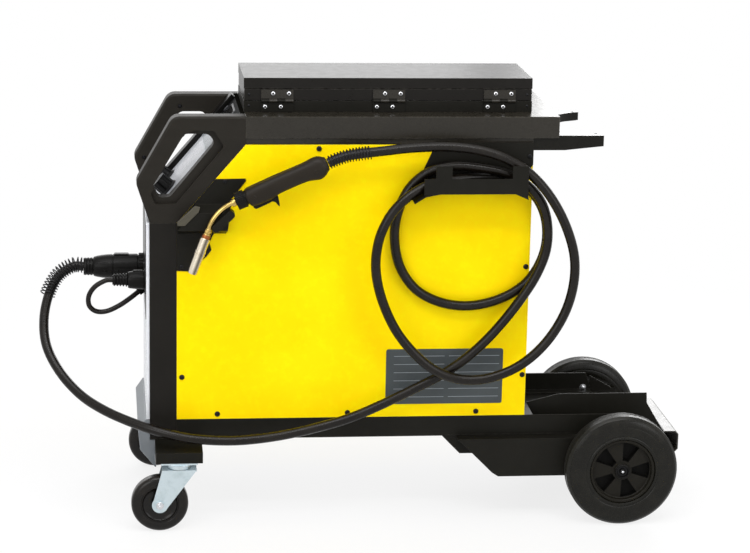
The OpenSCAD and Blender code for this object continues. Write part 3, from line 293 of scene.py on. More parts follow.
@dataclass(frozen=True)
class Moulded(Coating):
    """Moulded plastic with a pebbled or fine grain, and painted shade: faces marked as lying in a pocket are
    darkened towards black.
    """

    name: str
    colour: str
    rough: float = 0.5
    grain: float = 700
    depth: float = 0.12
    strength: float = 0.35
    shine: float = 0.3

    def paint(self, g: Graph) -> None:
        """Sets the shader up."""
        base = linear(self.colour)
        pale = lighter(base, 1.25, 0.003)
        pebble = g.cells(self.grain)
        flow = g.noise(14, 3, 0.6, g.stretched(1, 1, 2.4))
        scuff = g.mark("rim") * g.noise(180, 5, 0.7).between(0.35, 0.65)
        # Painted shade: faces marked as lying in a wheel's pockets are darkened towards black and made
        # rougher
        painted_pocket_shade = g.mark("painted_pocket_shade")
        body = g.mixed(flow.between(0.3, 0.75) * 0.5 + scuff * 0.5, base, pale)
        g.set(
            Base_Color=g.mixed(painted_pocket_shade * 0.8, body, (0.002, 0.002, 0.002, 1)),
            Roughness=self.rough + (pebble - 0.5) * 0.16 + (flow - 0.5) * 0.1 + painted_pocket_shade * 0.2,
            Specular_IOR_Level=self.shine,
            Normal=g.relief(pebble, self.strength, self.depth,
                            g.relief(g.noise(self.grain * 0.35, 3), 0.2, 0.1)),
        )


@dataclass(frozen=True)
class Plated(Coating):
    """Bright metal: plating, drawn brass, copper or chrome, with drawn lines and handling marks."""

    name: str
    colour: str
    dull: str
    rough: float = 0.3
    lines: Point = (40, 40, 1500)
    depth: float = 0.05
    metal: float = 1.0
    spots: float = 0.4

    def paint(self, g: Graph) -> None:
        """Sets the shader up."""
        drawn = g.noise(1, 3, 0.6, g.stretched(*self.lines))
        cloud = g.noise(45, 5, 0.65)
        stained = cloud.between(0.42, 0.72)
        g.set(
            Base_Color=g.mixed(stained * self.spots + drawn * 0.12, linear(self.colour), linear(self.dull)),
            Metallic=self.metal - stained * 0.15,
            Roughness=self.rough + (drawn - 0.5) * 0.16 + stained * 0.14,
            Normal=g.relief(drawn, 0.3, self.depth),
        )


@dataclass(frozen=True)
class Drawn(Coating):
    """Drawn and plated tube with a painted reflection: dark bands along its length, read from a mark kept on
    the mesh.
    """

    name: str
    colour: str
    dark: str
    rough: float = 0.22

    def paint(self, g: Graph) -> None:
        """Sets the shader up."""
        # Painted reflection: the marked bands take the dark colour; the clouds are random tone
        painted_reflection_bands = g.mark("painted_reflection_bands")
        cloud = g.noise(120, 4, 0.6)
        g.set(
            Base_Color=g.mixed(painted_reflection_bands * 0.85 + cloud * 0.12, linear(self.colour), linear(self.dark)),
            Metallic=0.92,
            Roughness=self.rough + cloud * 0.12,
            Normal=g.relief(g.noise(900, 2), 0.12, 0.02),
        )


@dataclass(frozen=True)
class Rubber(Coating):
    """Cured rubber: mould lines, fine bloom and a soft sheen."""

    name: str
    colour: str
    bloom: str
    rough: float = 0.55
    grain: float = 500
    shine: float = 0.35
    dusty: float = 0.35

    def paint(self, g: Graph) -> None:
        """Sets the shader up."""
        bloom = g.noise(38, 5, 0.7).between(0.4, 0.75)
        fine = g.noise(self.grain, 4, 0.6)
        scuffed = g.mark("worn") * g.noise(160, 5, 0.75).between(0.35, 0.6)
        g.set(
            Base_Color=g.mixed(bloom * self.dusty + scuffed * 0.45, linear(self.colour), linear(self.bloom)),
            Roughness=self.rough + (fine - 0.5) * 0.2 + bloom * 0.08 + scuffed * 0.12,
            Specular_IOR_Level=self.shine,
            Normal=g.relief(fine, 0.25, 0.12, g.relief(g.noise(90, 3), 0.15, 0.3)),
        )


@dataclass(frozen=True)
class CastIron(Coating):
    """Rough iron and lacquered windings inside the machine."""

    name: str
    colour: str
    dark: str

    def paint(self, g: Graph) -> None:
        """Sets the shader up."""
        layers = g.node(
            "ShaderNodeTexWave", {"bands_direction": "Y"},
            {"Vector": g.place, "Scale": 260, "Distortion": 0.4}, 1
        )
        rust = g.noise(70, 6, 0.7).between(0.45, 0.7)
        g.set(
            Base_Color=g.mixed(rust * 0.6 + layers * 0.25, linear(self.colour), linear(self.dark)),
            Metallic=0.6 - rust * 0.4,
            Roughness=0.5 + rust * 0.25,
            Normal=g.relief(layers, 0.4, 0.2, g.relief(g.noise(500, 3), 0.3, 0.2)),
        )


@dataclass(frozen=True)
class WoundWire(Coating):
    """Welding wire wound in layers on its spool, between dark flanges."""

    name: str
    colour: str
    flange: str
    centre: Point
    wound_r: float
    pitch: float = 0.0012

    def paint(self, g: Graph) -> None:
        """Sets the shader up."""
        spun = g.node("ShaderNodeMapping", {},
                      {"Vector": g.place, "Location": tuple(-c for c in self.centre)})
        x, y, z = (g.node("ShaderNodeSeparateXYZ", {}, {0: spun}, i) for i in range(3))
        r = (x * x + z * z) ** 0.5
        wire = 1 - r.between(self.wound_r + 0.0004, self.wound_r + 0.0009)
        turns = (y * (2 * math.pi / self.pitch)).sine()
        shade = g.noise(90, 3)
        metal = g.mixed(shade, linear(self.colour), linear("8a5634"))
        g.set(
            Base_Color=g.mixed(wire, linear(self.flange), metal),
            Metallic=wire * 0.95,
            Roughness=0.42 - wire * 0.12 + shade * 0.1,
            Normal=g.relief(turns * 0.5 + 0.5, 0.5, 0.3),
        )


class Finish(Enum):
    """The finishes, each built once and named for where it is used."""

    BLACK_PAINT = PowderCoat("black_powder_paint", "171612", "35332e", shine=0.1)
    POST_PAINT = PowderCoat("post_powder_paint", "181613", "3f3c36", rough=0.44, shine=0.12)
    COVER_PAINT = PowderCoat("cover_powder_paint", "24211b", "504c43", rough=0.28, peel=0.1, shine=0.3)
    YOKE_PAINT = PowderCoat("yoke_powder_paint", "14130f", "3b3933", rough=0.28, peel=0.1, shine=0.14)
    LID_PAINT = PowderCoat("lid_powder_paint", "13110e", "4e4b46", rough=0.3, peel=0.03, shine=0.16)
    YELLOW_PAINT = PowderCoat("yellow_panel_paint", "ffd900", "ffe85c", rough=0.42, peel=0.08, shine=0.05)
    COWL_PAINT = PowderCoat("cowl_grey_paint", "7a7f84", "a9adb1", rough=0.4, peel=0.1, shine=0.3)
    HANDLE = Moulded("handle_pebble_plastic", "1e1b16", rough=0.5, grain=620, depth=0.22, strength=0.55,
                     shine=0.16)
    PALE_PLASTIC = Moulded("pale_console_plastic", "d6d8dd", rough=0.3, grain=1500, depth=0.04, strength=0.2,
                           shine=0.4)
    BLACK_PLASTIC = Moulded("black_moulded_plastic", "0d0c0b", rough=0.34, grain=1100, depth=0.06,
                            strength=0.25, shine=0.12)
    # The rim's pockets carry painted shade, from the Moulded finish's pocket mark
    RIM_PLASTIC = Moulded("wheel_rim_plastic_pocket_shade", "181611", rough=0.46, grain=900, depth=0.08, strength=0.3,
                          shine=0.12)
    MATTE = Moulded("matte_edge_plastic", "12110e", rough=0.85, grain=1100, depth=0.05, strength=0.2,
                    shine=0.0)
    KNOB = Moulded("knob_plastic", "0a0a0a", rough=0.34, grain=1600, depth=0.03, strength=0.2, shine=0.2)
    GRIP = Moulded("torch_grip_plastic", "201b15", rough=0.42, grain=1300, depth=0.08, strength=0.35,
                   shine=0.16)
    GLOSS = Moulded("fascia_black_plastic", "0a0a0b", rough=0.6, grain=1500, depth=0.01, strength=0.1,
                    shine=0.02)
    SCREEN = Moulded("smoked_window", "08090c", rough=0.08, grain=1500, depth=0.004, strength=0.05, shine=0.5)
    GREY_INK = Moulded("grey_print", "8f9298", rough=0.4, grain=1500, depth=0.01, strength=0.1)
    DARK_INK = Moulded("dark_print", "26272b", rough=0.4, grain=1500, depth=0.01, strength=0.1)
    PAD = Moulded("holder_pad_plastic", "47443a", rough=0.4, grain=1200, depth=0.05, strength=0.25, shine=0.2)
    FASCIA_GREY = Moulded("fascia_grey_plastic", "a3a8ad", rough=0.3, grain=1500, depth=0.04, strength=0.2,
                          shine=0.4)
    PLATE_GREY = PowderCoat("blank_plate_grey", "454a4c", "7e8289", rough=0.4, peel=0.06, shine=0.15)
    RULE_GREY = Moulded("ruled_line_grey", "8d9398", rough=0.4, grain=1500, depth=0.01, strength=0.1,
                        shine=0.2)
    ZINC = Plated("zinc_plate", "cbd8de", "9fb0b4", rough=0.3, metal=0.85, spots=0.5)
    BRIGHT = Plated("bright_screw_steel", "d9dadd", "8e8f92", rough=0.22, lines=(900, 900, 900), spots=0.3)
    DARK_STEEL = Plated("blackened_steel", "232325", "0f0f10", rough=0.4, lines=(600, 600, 600), metal=0.8)
    BRASS = Plated("neck_brass", "cdb06a", "5d4719", rough=0.16, lines=(300, 1500, 300), depth=0.03,
                   spots=0.6)
    COPPER = Plated("contact_copper", "a8683f", "6e3d22", rough=0.3, lines=(600, 600, 600))
    # The nozzle's dark second colour is a painted reflection, laid in bands round it
    NOZZLE = Drawn("drawn_nozzle_plate_painted_reflection", "e3d8c4", "4a4234", rough=0.2)
    ALUMINIUM = Plated("feed_aluminium_cast", "b9bbbe", "8f9296", rough=0.42, lines=(1200, 60, 60), spots=0.4)
    TYRE = Rubber("tread_rubber", "0e0d08", "26241c", rough=0.26, grain=420, shine=0.22)
    CASTER = Rubber("caster_rubber", "0d0b09", "2a221b", rough=0.2, grain=420, shine=0.25)
    CABLE = Rubber("cable_jacket", "100c08", "28231c", rough=0.26, grain=900, shine=0.24, dusty=0.3)
    SPRING = Plated("black_spring_wire", "141416", "2e2e33", rough=0.12, lines=(500, 500, 500), metal=0.6,
                    spots=0.3)
    IRON = CastIron("transformer_core", "6b6a68", "4a2f22")
    WIRE = WoundWire("spooled_wire", "c98450", "2a2a2c", (-0.010, 0.066, 0.360), 0.132)

    def material(self) -> bpy.types.Material:
        """The finish's material, made when it is first asked for."""
        made = bpy.data.materials.get(self.value.name)
        return made or self.value.build()


# ---- Modelling ----


class Bench:
    """Modelling steps, each done with Blender's own tools."""

    @staticmethod
    def take(obj: Piece) -> None:
        """Selects one object alone."""
        Bench.clear()
        obj.select_set(True)
        bpy.context.view_layer.objects.active = obj

    @staticmethod
    def clear() -> None:
        """Leaves edit mode and deselects everything."""
        if bpy.context.mode != "OBJECT":
            bpy.ops.object.mode_set(mode="OBJECT")
        bpy.ops.object.select_all(action="DESELECT")

    @staticmethod
    def edit(obj: Piece) -> None:
        """Opens a piece in edit mode with everything selected."""
        Bench.take(obj)
        bpy.ops.object.mode_set(mode="EDIT")
        bpy.ops.mesh.select_all(action="SELECT")

    @staticmethod
    def weld() -> None:
        """Merges the doubled points of the open piece, turns its faces outwards and closes it."""
        bpy.ops.mesh.select_all(action="SELECT")
        bpy.ops.mesh.remove_doubles(threshold=WELD)
        bpy.ops.mesh.normals_make_consistent(inside=False)
        Bench.done()

    @staticmethod
    def placed(name: str, data: Any) -> Piece:
        """A new object in the scene, for a mesh, a curve, a lamp or a camera."""
        obj = bpy.data.objects.new(name, data)
        bpy.context.collection.objects.link(obj)
        return obj

    @staticmethod
    def meshed(name: str, points: Sequence[Any], edges: Sequence[Any], faces: Sequence[Any]) -> Piece:
        """A new mesh object from its points, edges and faces."""
        mesh = bpy.data.meshes.new(name)
        mesh.from_pydata(points, edges, faces)
        return Bench.placed(name, mesh)

    @staticmethod
    def mark(obj: Piece, name: str, domain: str, measure: Callable[[Any], float]) -> None:
        """Keeps a number on each point or face for the shader.

        Args:
            obj: The piece.
            name: The mark's name.
            domain: POINT or FACE.
            measure: Gives the number for a vertex or a face.
        """
        items = obj.data.vertices if domain == "POINT" else obj.data.polygons
        values = [float(measure(item)) for item in items]
        obj.data.attributes.new(name, "FLOAT", domain).data.foreach_set("value", values)

    @staticmethod
    def moved(obj: Piece, move: Matrix) -> Piece:
        """Moves a piece and settles its place in its mesh."""
        Bench.take(obj)
        obj.matrix_world = move
        bpy.ops.object.transform_apply(location=True, rotation=True, scale=True)
        return obj

    @staticmethod
    def named(name: str) -> Piece:
        """Names the active object, settles its place in its mesh, and returns it."""
        obj = bpy.context.active_object
        obj.name = name
        obj.data.name = name
        bpy.ops.object.transform_apply(location=True, rotation=True, scale=True)
        return obj

    @staticmethod
    def block(name: str, low: Sequence[float], high: Sequence[float]) -> Piece:
        """A box between two corners.

        Args:
            name: The piece's name.
            low: Its lowest corner, in metres.
            high: Its highest corner, in metres.

        Returns:
            The box.
        """
        a, b = Vector(low), Vector(high)
        Bench.clear()
        bpy.ops.mesh.primitive_cube_add(size=1, location=(a + b) / 2)
        bpy.context.active_object.scale = b - a
        return Bench.named(name)

    @staticmethod
    def rod(name: str, base: Sequence[float], axis: Sequence[float], length: float, radius: float,
            sides: int = 32, tip: Optional[float] = None) -> Piece:
        """A cylinder or cone from its base along an axis.

        Args:
            name: The piece's name.
            base: The centre of its base.
            axis: Its direction.
            length: Its length.
            radius: Its radius at the base.
            sides: How many sides it has.
            tip: Its radius at the end, where it differs.

        Returns:
            The cylinder.
        """
        way = Vector(axis).normalized()
        Bench.clear()
        bpy.ops.mesh.primitive_cone_add(
            vertices=sides,
            radius1=radius,
            radius2=radius if tip is None else tip,
            depth=length,
            location=Vector(base) + way * length / 2,
            rotation=way.to_track_quat("Z", "Y").to_euler(),
        )
        return Bench.named(name)

    @staticmethod
    def pick(obj: Piece, test: Callable[[Any], bool], kind: str = "FACE") -> None:
        """Opens a mesh in edit mode with the faces or edges that pass a test selected.

        Args:
            obj: The piece.
            test: Takes a face or an edge.
            kind: FACE or EDGE.
        """
        Bench.take(obj)
        bpy.ops.object.mode_set(mode="EDIT")
        bpy.ops.mesh.select_mode(type=kind)
        bpy.ops.mesh.select_all(action="DESELECT")
        bm = bmesh.from_edit_mesh(obj.data)
        bm.normal_update()
        for item in bm.faces if kind == "FACE" else bm.edges:
            if test(item):
                item.select_set(True)
        bmesh.update_edit_mesh(obj.data)

    @staticmethod
    def done() -> None:
        """Leaves edit mode."""
        bpy.ops.object.mode_set(mode="OBJECT")

    @staticmethod
    def modify(obj: Piece, kind: str, **settings: Any) -> Piece:
        """Adds a modifier and applies it.

        Args:
            obj: The piece.
            kind: The modifier's type.
            settings: Its settings.

        Returns:
            The piece.
        """
        Bench.take(obj)
        made = obj.modifiers.new(kind.lower(), kind)
        for key, setting in settings.items():
            setattr(made, key, setting)
        bpy.ops.object.modifier_apply(modifier=made.name)
        return obj

    @staticmethod
    def cut(obj: Piece, tool: Piece) -> Piece:
        """Cuts one shape out of another and removes the tool."""
        Bench.modify(obj, "BOOLEAN", operation="DIFFERENCE", object=tool, solver="EXACT")
        bpy.data.objects.remove(tool)
        return obj

    @staticmethod
    def soften(obj: Piece, width_mm: float, steps: int = 2, angle: float = 32) -> Piece:
        """Rounds the sharp edges and keeps where they are as the mark rim.

        Args:
            obj: The piece.
            width_mm: How wide the rounding is.
            steps: Its segments.
            angle: Edges sharper than this many degrees are rounded.

        Returns:
            The piece.
        """
        blank = bpy.data.materials.get("blank") or bpy.data.materials.new("blank")
        obj.data.materials.clear()
        obj.data.materials.append(blank)
        obj.data.materials.append(blank)
        Bench.modify(
            obj, "BEVEL", width=width_mm * MM, segments=steps, limit_method="ANGLE",
            angle_limit=math.radians(angle), material=1, use_clamp_overlap=True, miter_outer="MITER_ARC",
            harden_normals=False,
        )
        Bench.mark(obj, "rim", "FACE", lambda p: p.material_index == 1)
        for p in obj.data.polygons:
            p.material_index = 0
        obj.data.materials.clear()
        return Bench.smooth(obj)

    @staticmethod
    def smooth(obj: Piece, angle: float = 35) -> Piece:
        """Shades a piece smooth across its shallow edges, with flats kept flat."""
        Bench.take(obj)
        bpy.ops.object.shade_smooth_by_angle(angle=math.radians(angle))
        return Bench.modify(obj, "WEIGHTED_NORMAL", keep_sharp=True)

    @staticmethod
    def tidy(obj: Piece) -> Piece:
        """Merges a piece's doubled points and turns its faces outwards."""
        Bench.edit(obj)
        Bench.weld()
        return obj

    @staticmethod
    def turned(name: str, outline: Sequence[Pair], base: Sequence[float], axis: Sequence[float],
               steps: int = 64, closed: bool = False) -> Piece:
        """Spins an outline round an axis.

        Args:
            name: The piece's name.
            outline: Pairs of distance along the axis and radius, in millimetres.
            base: Where the axis starts, in metres.
            axis: Its direction.
            steps: How many steps the spin has.
            closed: Whether the outline is a loop.

        Returns:
            The turned piece.
        """
        last = len(outline) - 1
        edges = [(i, i + 1) for i in range(last)] + ([(last, 0)] if closed else [])
        obj = Bench.meshed(name, [(r * MM, 0, a * MM) for a, r in outline], edges, [])
        Bench.edit(obj)
        bpy.ops.mesh.spin(steps=steps, angle=2 * math.pi, center=(0, 0, 0), axis=(0, 0, 1))
        Bench.weld()
        obj.rotation_mode = "QUATERNION"
        obj.rotation_quaternion = Vector(axis).normalized().to_track_quat("Z", "Y")
        obj.location = base
        Bench.named(name)
        return Bench.smooth(obj, 40)

    @staticmethod
    def tube(name: str, line: Sequence[Sequence[float]], radius: float, sides: int = 4,
             keep: bool = False) -> Piece:
        """A round tube along a line of points.

        Args:
            name: The piece's name.
            line: The points, in metres.
            radius: The tube's radius.
            sides: The curve's bevel resolution.
            keep: Whether it stays a curve.

        Returns:
            The tube.
        """
        curve = bpy.data.curves.new(name, "CURVE")
        curve.dimensions = "3D"
        curve.bevel_depth = radius
        curve.bevel_resolution = sides
        curve.use_fill_caps = True
        spline = curve.splines.new("POLY")
        spline.points.add(len(line) - 1)
        for point, place in zip(spline.points, line):
            point.co = (*place, 1)
        spline.use_smooth = True
        obj = Bench.placed(name, curve)
        if not keep:
            Bench.take(obj)
            bpy.ops.object.convert(target="MESH")
            Bench.smooth(obj, 50)
        return obj

    @staticmethod
    def plate(name: str, outline: Sequence[Point], push: Sequence[float]) -> Piece:
        """A flat outline pushed into a plate.

        Args:
            name: The piece's name.
            outline: The corners, in metres.
            push: How far and which way it is pushed.

        Returns:
            The plate.
        """
        obj = Bench.meshed(name, [tuple(p) for p in outline], [], [tuple(range(len(outline)))])
        Bench.pick(obj, lambda f: True)
        bpy.ops.mesh.extrude_region_move(TRANSFORM_OT_translate={"value": tuple(push)})
        Bench.done()
        return Bench.tidy(obj)

    @staticmethod
    def loft(name: str, rings: Sequence[Sequence[Vector]]) -> Piece:
        """A closed skin through rings of points, drawn out ring by ring.

        Args:
            name: The piece's name.
            rings: The rings, each with as many points.

        Returns:
            The skin, with a face on each end.
        """
        n = len(rings[0])
        obj = Bench.meshed(name, [tuple(p) for p in rings[0]], [], [tuple(range(n))])
        Bench.pick(obj, lambda f: True)
        for ring in rings[1:]:
            bpy.ops.mesh.extrude_region_move(TRANSFORM_OT_translate={"value": (0, 0, 1e-4)})
            bm = bmesh.from_edit_mesh(obj.data)
            # The cap's points keep the first ring's order, so they are matched by turning the list
            verts = list(next(f for f in bm.faces if f.select).verts)
            start = min(range(n), key=lambda i: verts[i].index)
            order = [verts[(start + i) % n] for i in range(n)]
            if n > 2 and order[1].index > order[-1].index:
                order = [order[0]] + order[:0:-1]
            for vert, place in zip(order, ring):
                vert.co = place
            bmesh.update_edit_mesh(obj.data)
        Bench.done()
        return Bench.tidy(obj)

    @staticmethod
    def joined(name: str, parts: Sequence[Piece]) -> Piece:
        """Joins pieces into one."""
        Bench.take(parts[0])
        for part in parts:
            part.select_set(True)
        bpy.ops.object.join()
        parts[0].name = name
        parts[0].data.name = name
        return parts[0]


# Nodes whose flat faces have holes: merged into one face, such a face tears when its edges are rounded
HOLED = frozenset({"rear_panel", "power_unit", "front_panel", "front_posts", "caster_hoods", "feed_unit",
                   "fan_frame"})


class Fit:
    """Dresses, names and hangs the pieces on the model's bodies."""

    SLOTS = {s["node"]: s["material_slot"] for s in frame["record"]["subparts"]}
    SOURCE_WELD = 5e-6
    FLAT = math.radians(0.4)

    @staticmethod
    def body(node: str) -> str:
        """The body that carries a node."""
        groups = frame["record"]["behaviour"]["bodies"]
        return next(body for body, nodes in groups.items() if node in nodes)

    @staticmethod
    def hang(obj: Piece, finish: Finish, like: str, stands_for: Iterable[str] = ()) -> Piece:
        """Finishes a piece and hangs it on the body of a node.

        Args:
            obj: The piece.
            finish: Its finish.
            like: The node whose body it takes.
            stands_for: The nodes that it stands for.

        Returns:
            The piece.
        """
        obj.data.materials.clear()
        obj.data.materials.append(finish.material())
        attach(obj, Fit.body(like))
        if stands_for:
            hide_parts(*stands_for)
        LOG.info("%s: %d faces, %s", obj.name, len(getattr(obj.data, "polygons", [])), finish.value.name)
        return obj

    @staticmethod
    def stand(obj: Piece, finish: Finish, node: str) -> Piece:
        """Finishes a piece and stands it in a node's place."""
        return Fit.hang(obj, finish, node, [node])

    @staticmethod
    def merged(node: str) -> Piece:
        """A copy of a node, its triangles merged into whole faces unless those have holes."""
        source = frame["nodes"][node]
        obj = source.copy()
        obj.data = source.data.copy()
        obj.name = f"{node}_skin"
        obj.data.name = obj.name
        obj.parent = None
        bpy.context.collection.objects.link(obj)
        obj.matrix_world = Matrix.Identity(4)
        Bench.take(obj)
        if obj.data.has_custom_normals:
            bpy.ops.mesh.customdata_custom_splitnormals_clear()
        bpy.ops.object.mode_set(mode="EDIT")
        bpy.ops.mesh.select_mode(type="FACE")
        bpy.ops.mesh.select_all(action="SELECT")
        bpy.ops.mesh.mark_sharp(clear=True)
        bpy.ops.mesh.remove_doubles(threshold=Fit.SOURCE_WELD)
        if node not in HOLED:
            bpy.ops.mesh.dissolve_limited(angle_limit=Fit.FLAT)
        Bench.done()
        return obj

    @staticmethod
    def skin(node: str, finish: Finish, width_mm: float, steps: int = 2) -> Piece:
        """Stands a softened copy in a node's place.

        Args:
            node: The node.
            finish: Its finish.
            width_mm: How wide its edges are rounded.
            steps: The rounding's segments.

        Returns:
            The copy.
        """
        return Fit.stand(Bench.soften(Fit.merged(node), width_mm, steps), finish, node)

    @staticmethod
    def skins(*rows: tuple[str, Finish, float]) -> None:
        """Stands a softened copy in each of some nodes' places.

        Args:
            rows: Each node, its finish and how wide its edges are rounded, in millimetres.
        """
        for node, finish, width_mm in rows:
            Fit.skin(node, finish, width_mm)


def screw(name: str, place: Vector, out: Sequence[float], radius: float, height: float,
          socket: float) -> Piece:
    """A button-head screw with a hexagon socket.

    Args:
        name: Its name.
        place: Where its axis meets the sheet.
        out: The way the head points.
        radius: The head's radius, in millimetres.
        height: The head's height, in millimetres.
        socket: The socket's radius, in millimetres.

    Returns:
        The screw head.
    """
    dome = [(0, radius), (height * 0.35, radius)]
    for a in (0.5, 1.0, 1.57):
        dome.append((height * (0.35 + 0.65 * math.sin(a)), radius * (0.55 + 0.45 * math.cos(a))))
    head = Bench.turned(name, [(0, 0), *dome, (height, 0)], place, out, 24)
    inside = place + Vector(out) * height * 0.45 * MM
    drive = Bench.rod(f"{name}_drive", inside, out, height * MM, socket * MM, 6)
    return Bench.smooth(Bench.cut(head, drive), 30)


def screws(name: str, places: Iterable[Vector], out: Sequence[float], radius: float, height: float,
           socket: float) -> list[Piece]:
    """Screws of one size that all point one way."""
    return [screw(f"{name}_{i}", place, out, radius, height, socket) for i, place in enumerate(places)]


def turned_ribs(obj: Piece, test: Callable[[Any], bool], inset_mm: float, out_mm: float) -> None:
    """Raises faces as ribs: each picked face is inset on its own and pushed along its normal.

    Args:
        obj: The piece.
        test: Picks the faces.
        inset_mm: How far each is inset.
        out_mm: How far it is pushed.
    """
    Bench.pick(obj, test)
    bpy.ops.mesh.inset(thickness=inset_mm * MM, depth=out_mm * MM, use_individual=True)
    Bench.done()


# ---- Cables ----


@dataclass
class Route:
    """A smooth line through a cable's points, in metres."""

    points: Sequence[Point]
    steps: int = 6
    line: list[Vector] = field(init=False)
    run: list[float] = field(init=False)

    def __post_init__(self) -> None:
        """Smooths the points and measures the line."""
        p = [Vector(q) * MM for q in self.points]
        p = [2 * p[0] - p[1], *p, 2 * p[-1] - p[-2]]
        self.line = []
        for i in range(1, len(p) - 2):
            a, b, c, d = p[i - 1 : i + 3]
            for j in range(self.steps):
                t = j / self.steps
                self.line.append((
                    2 * b + (c - a) * t + (2 * a - 5 * b + 4 * c - d) * t**2
                    + (3 * b - a - 3 * c + d) * t**3
                ) / 2)
        self.line.append(p[-2])
        self.run = [0.0]
        for a, b in zip(self.line, self.line[1:]):
            self.run.append(self.run[-1] + (b - a).length)

    @property
    def length(self) -> float:
        """The line's length."""
        return self.run[-1]

    def place(self, s: float) -> Vector:
        """The point at a running length."""
        past = next((k for k, r in enumerate(self.run) if r > s), len(self.run))
        i = max(0, min(len(self.run) - 2, past - 1))
        span = self.run[i + 1] - self.run[i]
        return self.line[i].lerp(self.line[i + 1], (s - self.run[i]) / span)

    def heading(self, s: float) -> Vector:
        """The direction at a running length."""
        return (self.place(s + MM) - self.place(s - MM)).normalized()


@dataclass
class Cables:
    """The torch cable with its bend springs and plug, and the polarity lead with its plug."""

    cable_d: float = 17.0
    lead_d: float = 9.0
    wire_d: float = 2.4
    wire_gap: float = 1.2
    socket_z: float = 421.0
    euro_y: float = 45.0
    polarity_y: float = -60.0
    face_x: float = -470.0
    turn_points: int = 20
    cable: Route = field(
        default_factory=lambda: Route([
            (-577, 45, 421), (-596, 45, 421), (-621, 41, 405), (-639, 29, 374), (-648, 8, 332),
            (-643, -17, 289), (-619, -47, 249), (-584, -82, 218), (-544, -117, 200), (-497, -150, 187),
            (-449, -176, 177), (-400, -188, 168), (-350, -190, 163), (-298, -187, 162), (-236, -180, 167),
            (-174, -173, 178), (-115, -168, 193), (-59, -166, 216), (-6, -166, 242), (46, -166, 269),
            (86, -166, 296), (122, -166, 328), (154, -166, 364), (186, -166, 407), (212, -166, 450),
            (228, -166, 495), (229, -166, 540), (217, -166, 580), (190, -166, 612), (152, -166, 632),
            (108, -163, 641), (65, -156, 643), (22, -149, 632), (-12, -147, 603), (-32, -147, 560),
            (-37, -147, 514), (-27, -147, 464), (2, -147, 422), (46, -147, 398), (98, -147, 391),
            (152, -147, 403), (197, -147, 431), (224, -147, 474), (232, -147, 521), (222, -147, 566),
            (195, -147, 602), (156, -147, 619), (110, -149, 622), (62, -160, 620), (16, -174, 613),
            (-23, -183, 591), (-51, -186, 560), (-69, -186, 517), (-73, -186, 466), (-61, -186, 412),
            (-36, -186, 358), (-1, -186, 314), (36, -186, 284), (79, -186, 268), (128, -186, 269),
            (180, -186, 289), (224, -186, 326), (257, -186, 376), (274, -186, 430), (275, -186, 486),
            (258, -186, 542), (229, -185, 594), (194, -181, 633), (152, -177, 659), (104, -174, 674),
            (50, -173, 680), (-10, -176, 679), (-69, -178, 673), (-117, -178, 667), (-142, -178, 660),
            (-158, -178, 653),
        ])
    )
    lead: Route = field(
        default_factory=lambda: Route([
            (-526, -60, 421), (-538, -60, 420), (-556, -58, 409), (-567, -55, 392), (-567, -51, 373),
            (-555, -47, 361), (-536, -43, 360), (-514, -39, 369), (-495, -35, 381), (-480, -31, 392),
        ])
    )

    def spring(self, name: str, start: float, end: float, turns: int, lean: float = 0.0) -> Piece:
        """A bend spring wound round the torch cable.

        Args:
            name: The node that it stands for.
            start: The running length where it starts, in metres.
            end: The running length where it ends.
            turns: How many turns it has.
            lean: How far it lies off the cable's middle, in millimetres.

        Returns:
            The spring.
        """
        r = (self.cable_d / 2 + self.wire_gap + self.wire_d / 2 + abs(lean)) * MM
        n = turns * self.turn_points
        line = []
        for i in range(n + 1):
            s = start + self.wire_d * MM + (end - start - 2 * self.wire_d * MM) * i / n
            way = self.cable.heading(s)
            side = way.cross(Vector((0, 1, 0))).normalized()
            a = 2 * math.pi * i / self.turn_points
            out = side * math.cos(a) + way.cross(side) * math.sin(a)
            line.append(self.cable.place(s) + r * out + side * lean * MM)
        obj = Bench.tube(f"{name}_wire", line, self.wire_d / 2 * MM, 2)
        return Fit.stand(obj, Finish.SPRING, name)

    def torch_plug(self) -> Piece:
        """The torch's plug: ribbed nut, two-part moulded body and ringed cup."""
        y, z = self.euro_y, self.socket_z
        base = at(self.face_x, y, z)
        back = (-1, 0, 0)
        nut = Bench.rod("torch_plug_nut", base, back, 8 * MM, 23.2 * MM, 48)
        turned_ribs(nut, lambda f: abs(f.normal.x) < 0.1 and f.index % 2 == 0, 0.4, 1.1)
        Bench.soften(nut, 0.35, 2, 40)
        body = Bench.turned(
            "torch_plug_body",
            [(-22, 7.9), (0, 7.9), (0, 20.4), (9.6, 20.4), (9.9, 21.9), (11.5, 22.5), (40, 22.5),
             (53.5, 22.1), (54.1, 21.2), (55.3, 21.2), (55.9, 21.9), (64, 21.6), (74, 20.6), (83, 19),
             (88, 17.6), (89.3, 16.3), (89.8, 14.6), (90.6, 14.6), (91.2, 16), (94.6, 16), (95.3, 14.7),
             (96.1, 14.7), (96.8, 16), (100, 16), (100.7, 14.7), (101.4, 14.7), (102.1, 15.8), (105.6, 15.6),
             (107, 14.4), (107, 8.8), (96, 8.8)],
            base, back, 72,
        )
        button = Bench.block("torch_plug_catch", at(-522, y - 7, z + 20.5), at(-496, y + 7, z + 24))
        Bench.soften(button, 1.6, 3)
        places = [at(-516 - 22 * i, y - 21.6 + 0.5 * i, z - 4) for i in range(2)]
        heads = screws("torch_plug_screw", places, (0, -1, 0), 2.6, 1.2, 1.3)
        obj = Bench.joined("torch_plug_moulding", [body, nut, button, *heads])
        return Fit.stand(obj, Finish.BLACK_PLASTIC, "torch_plug")

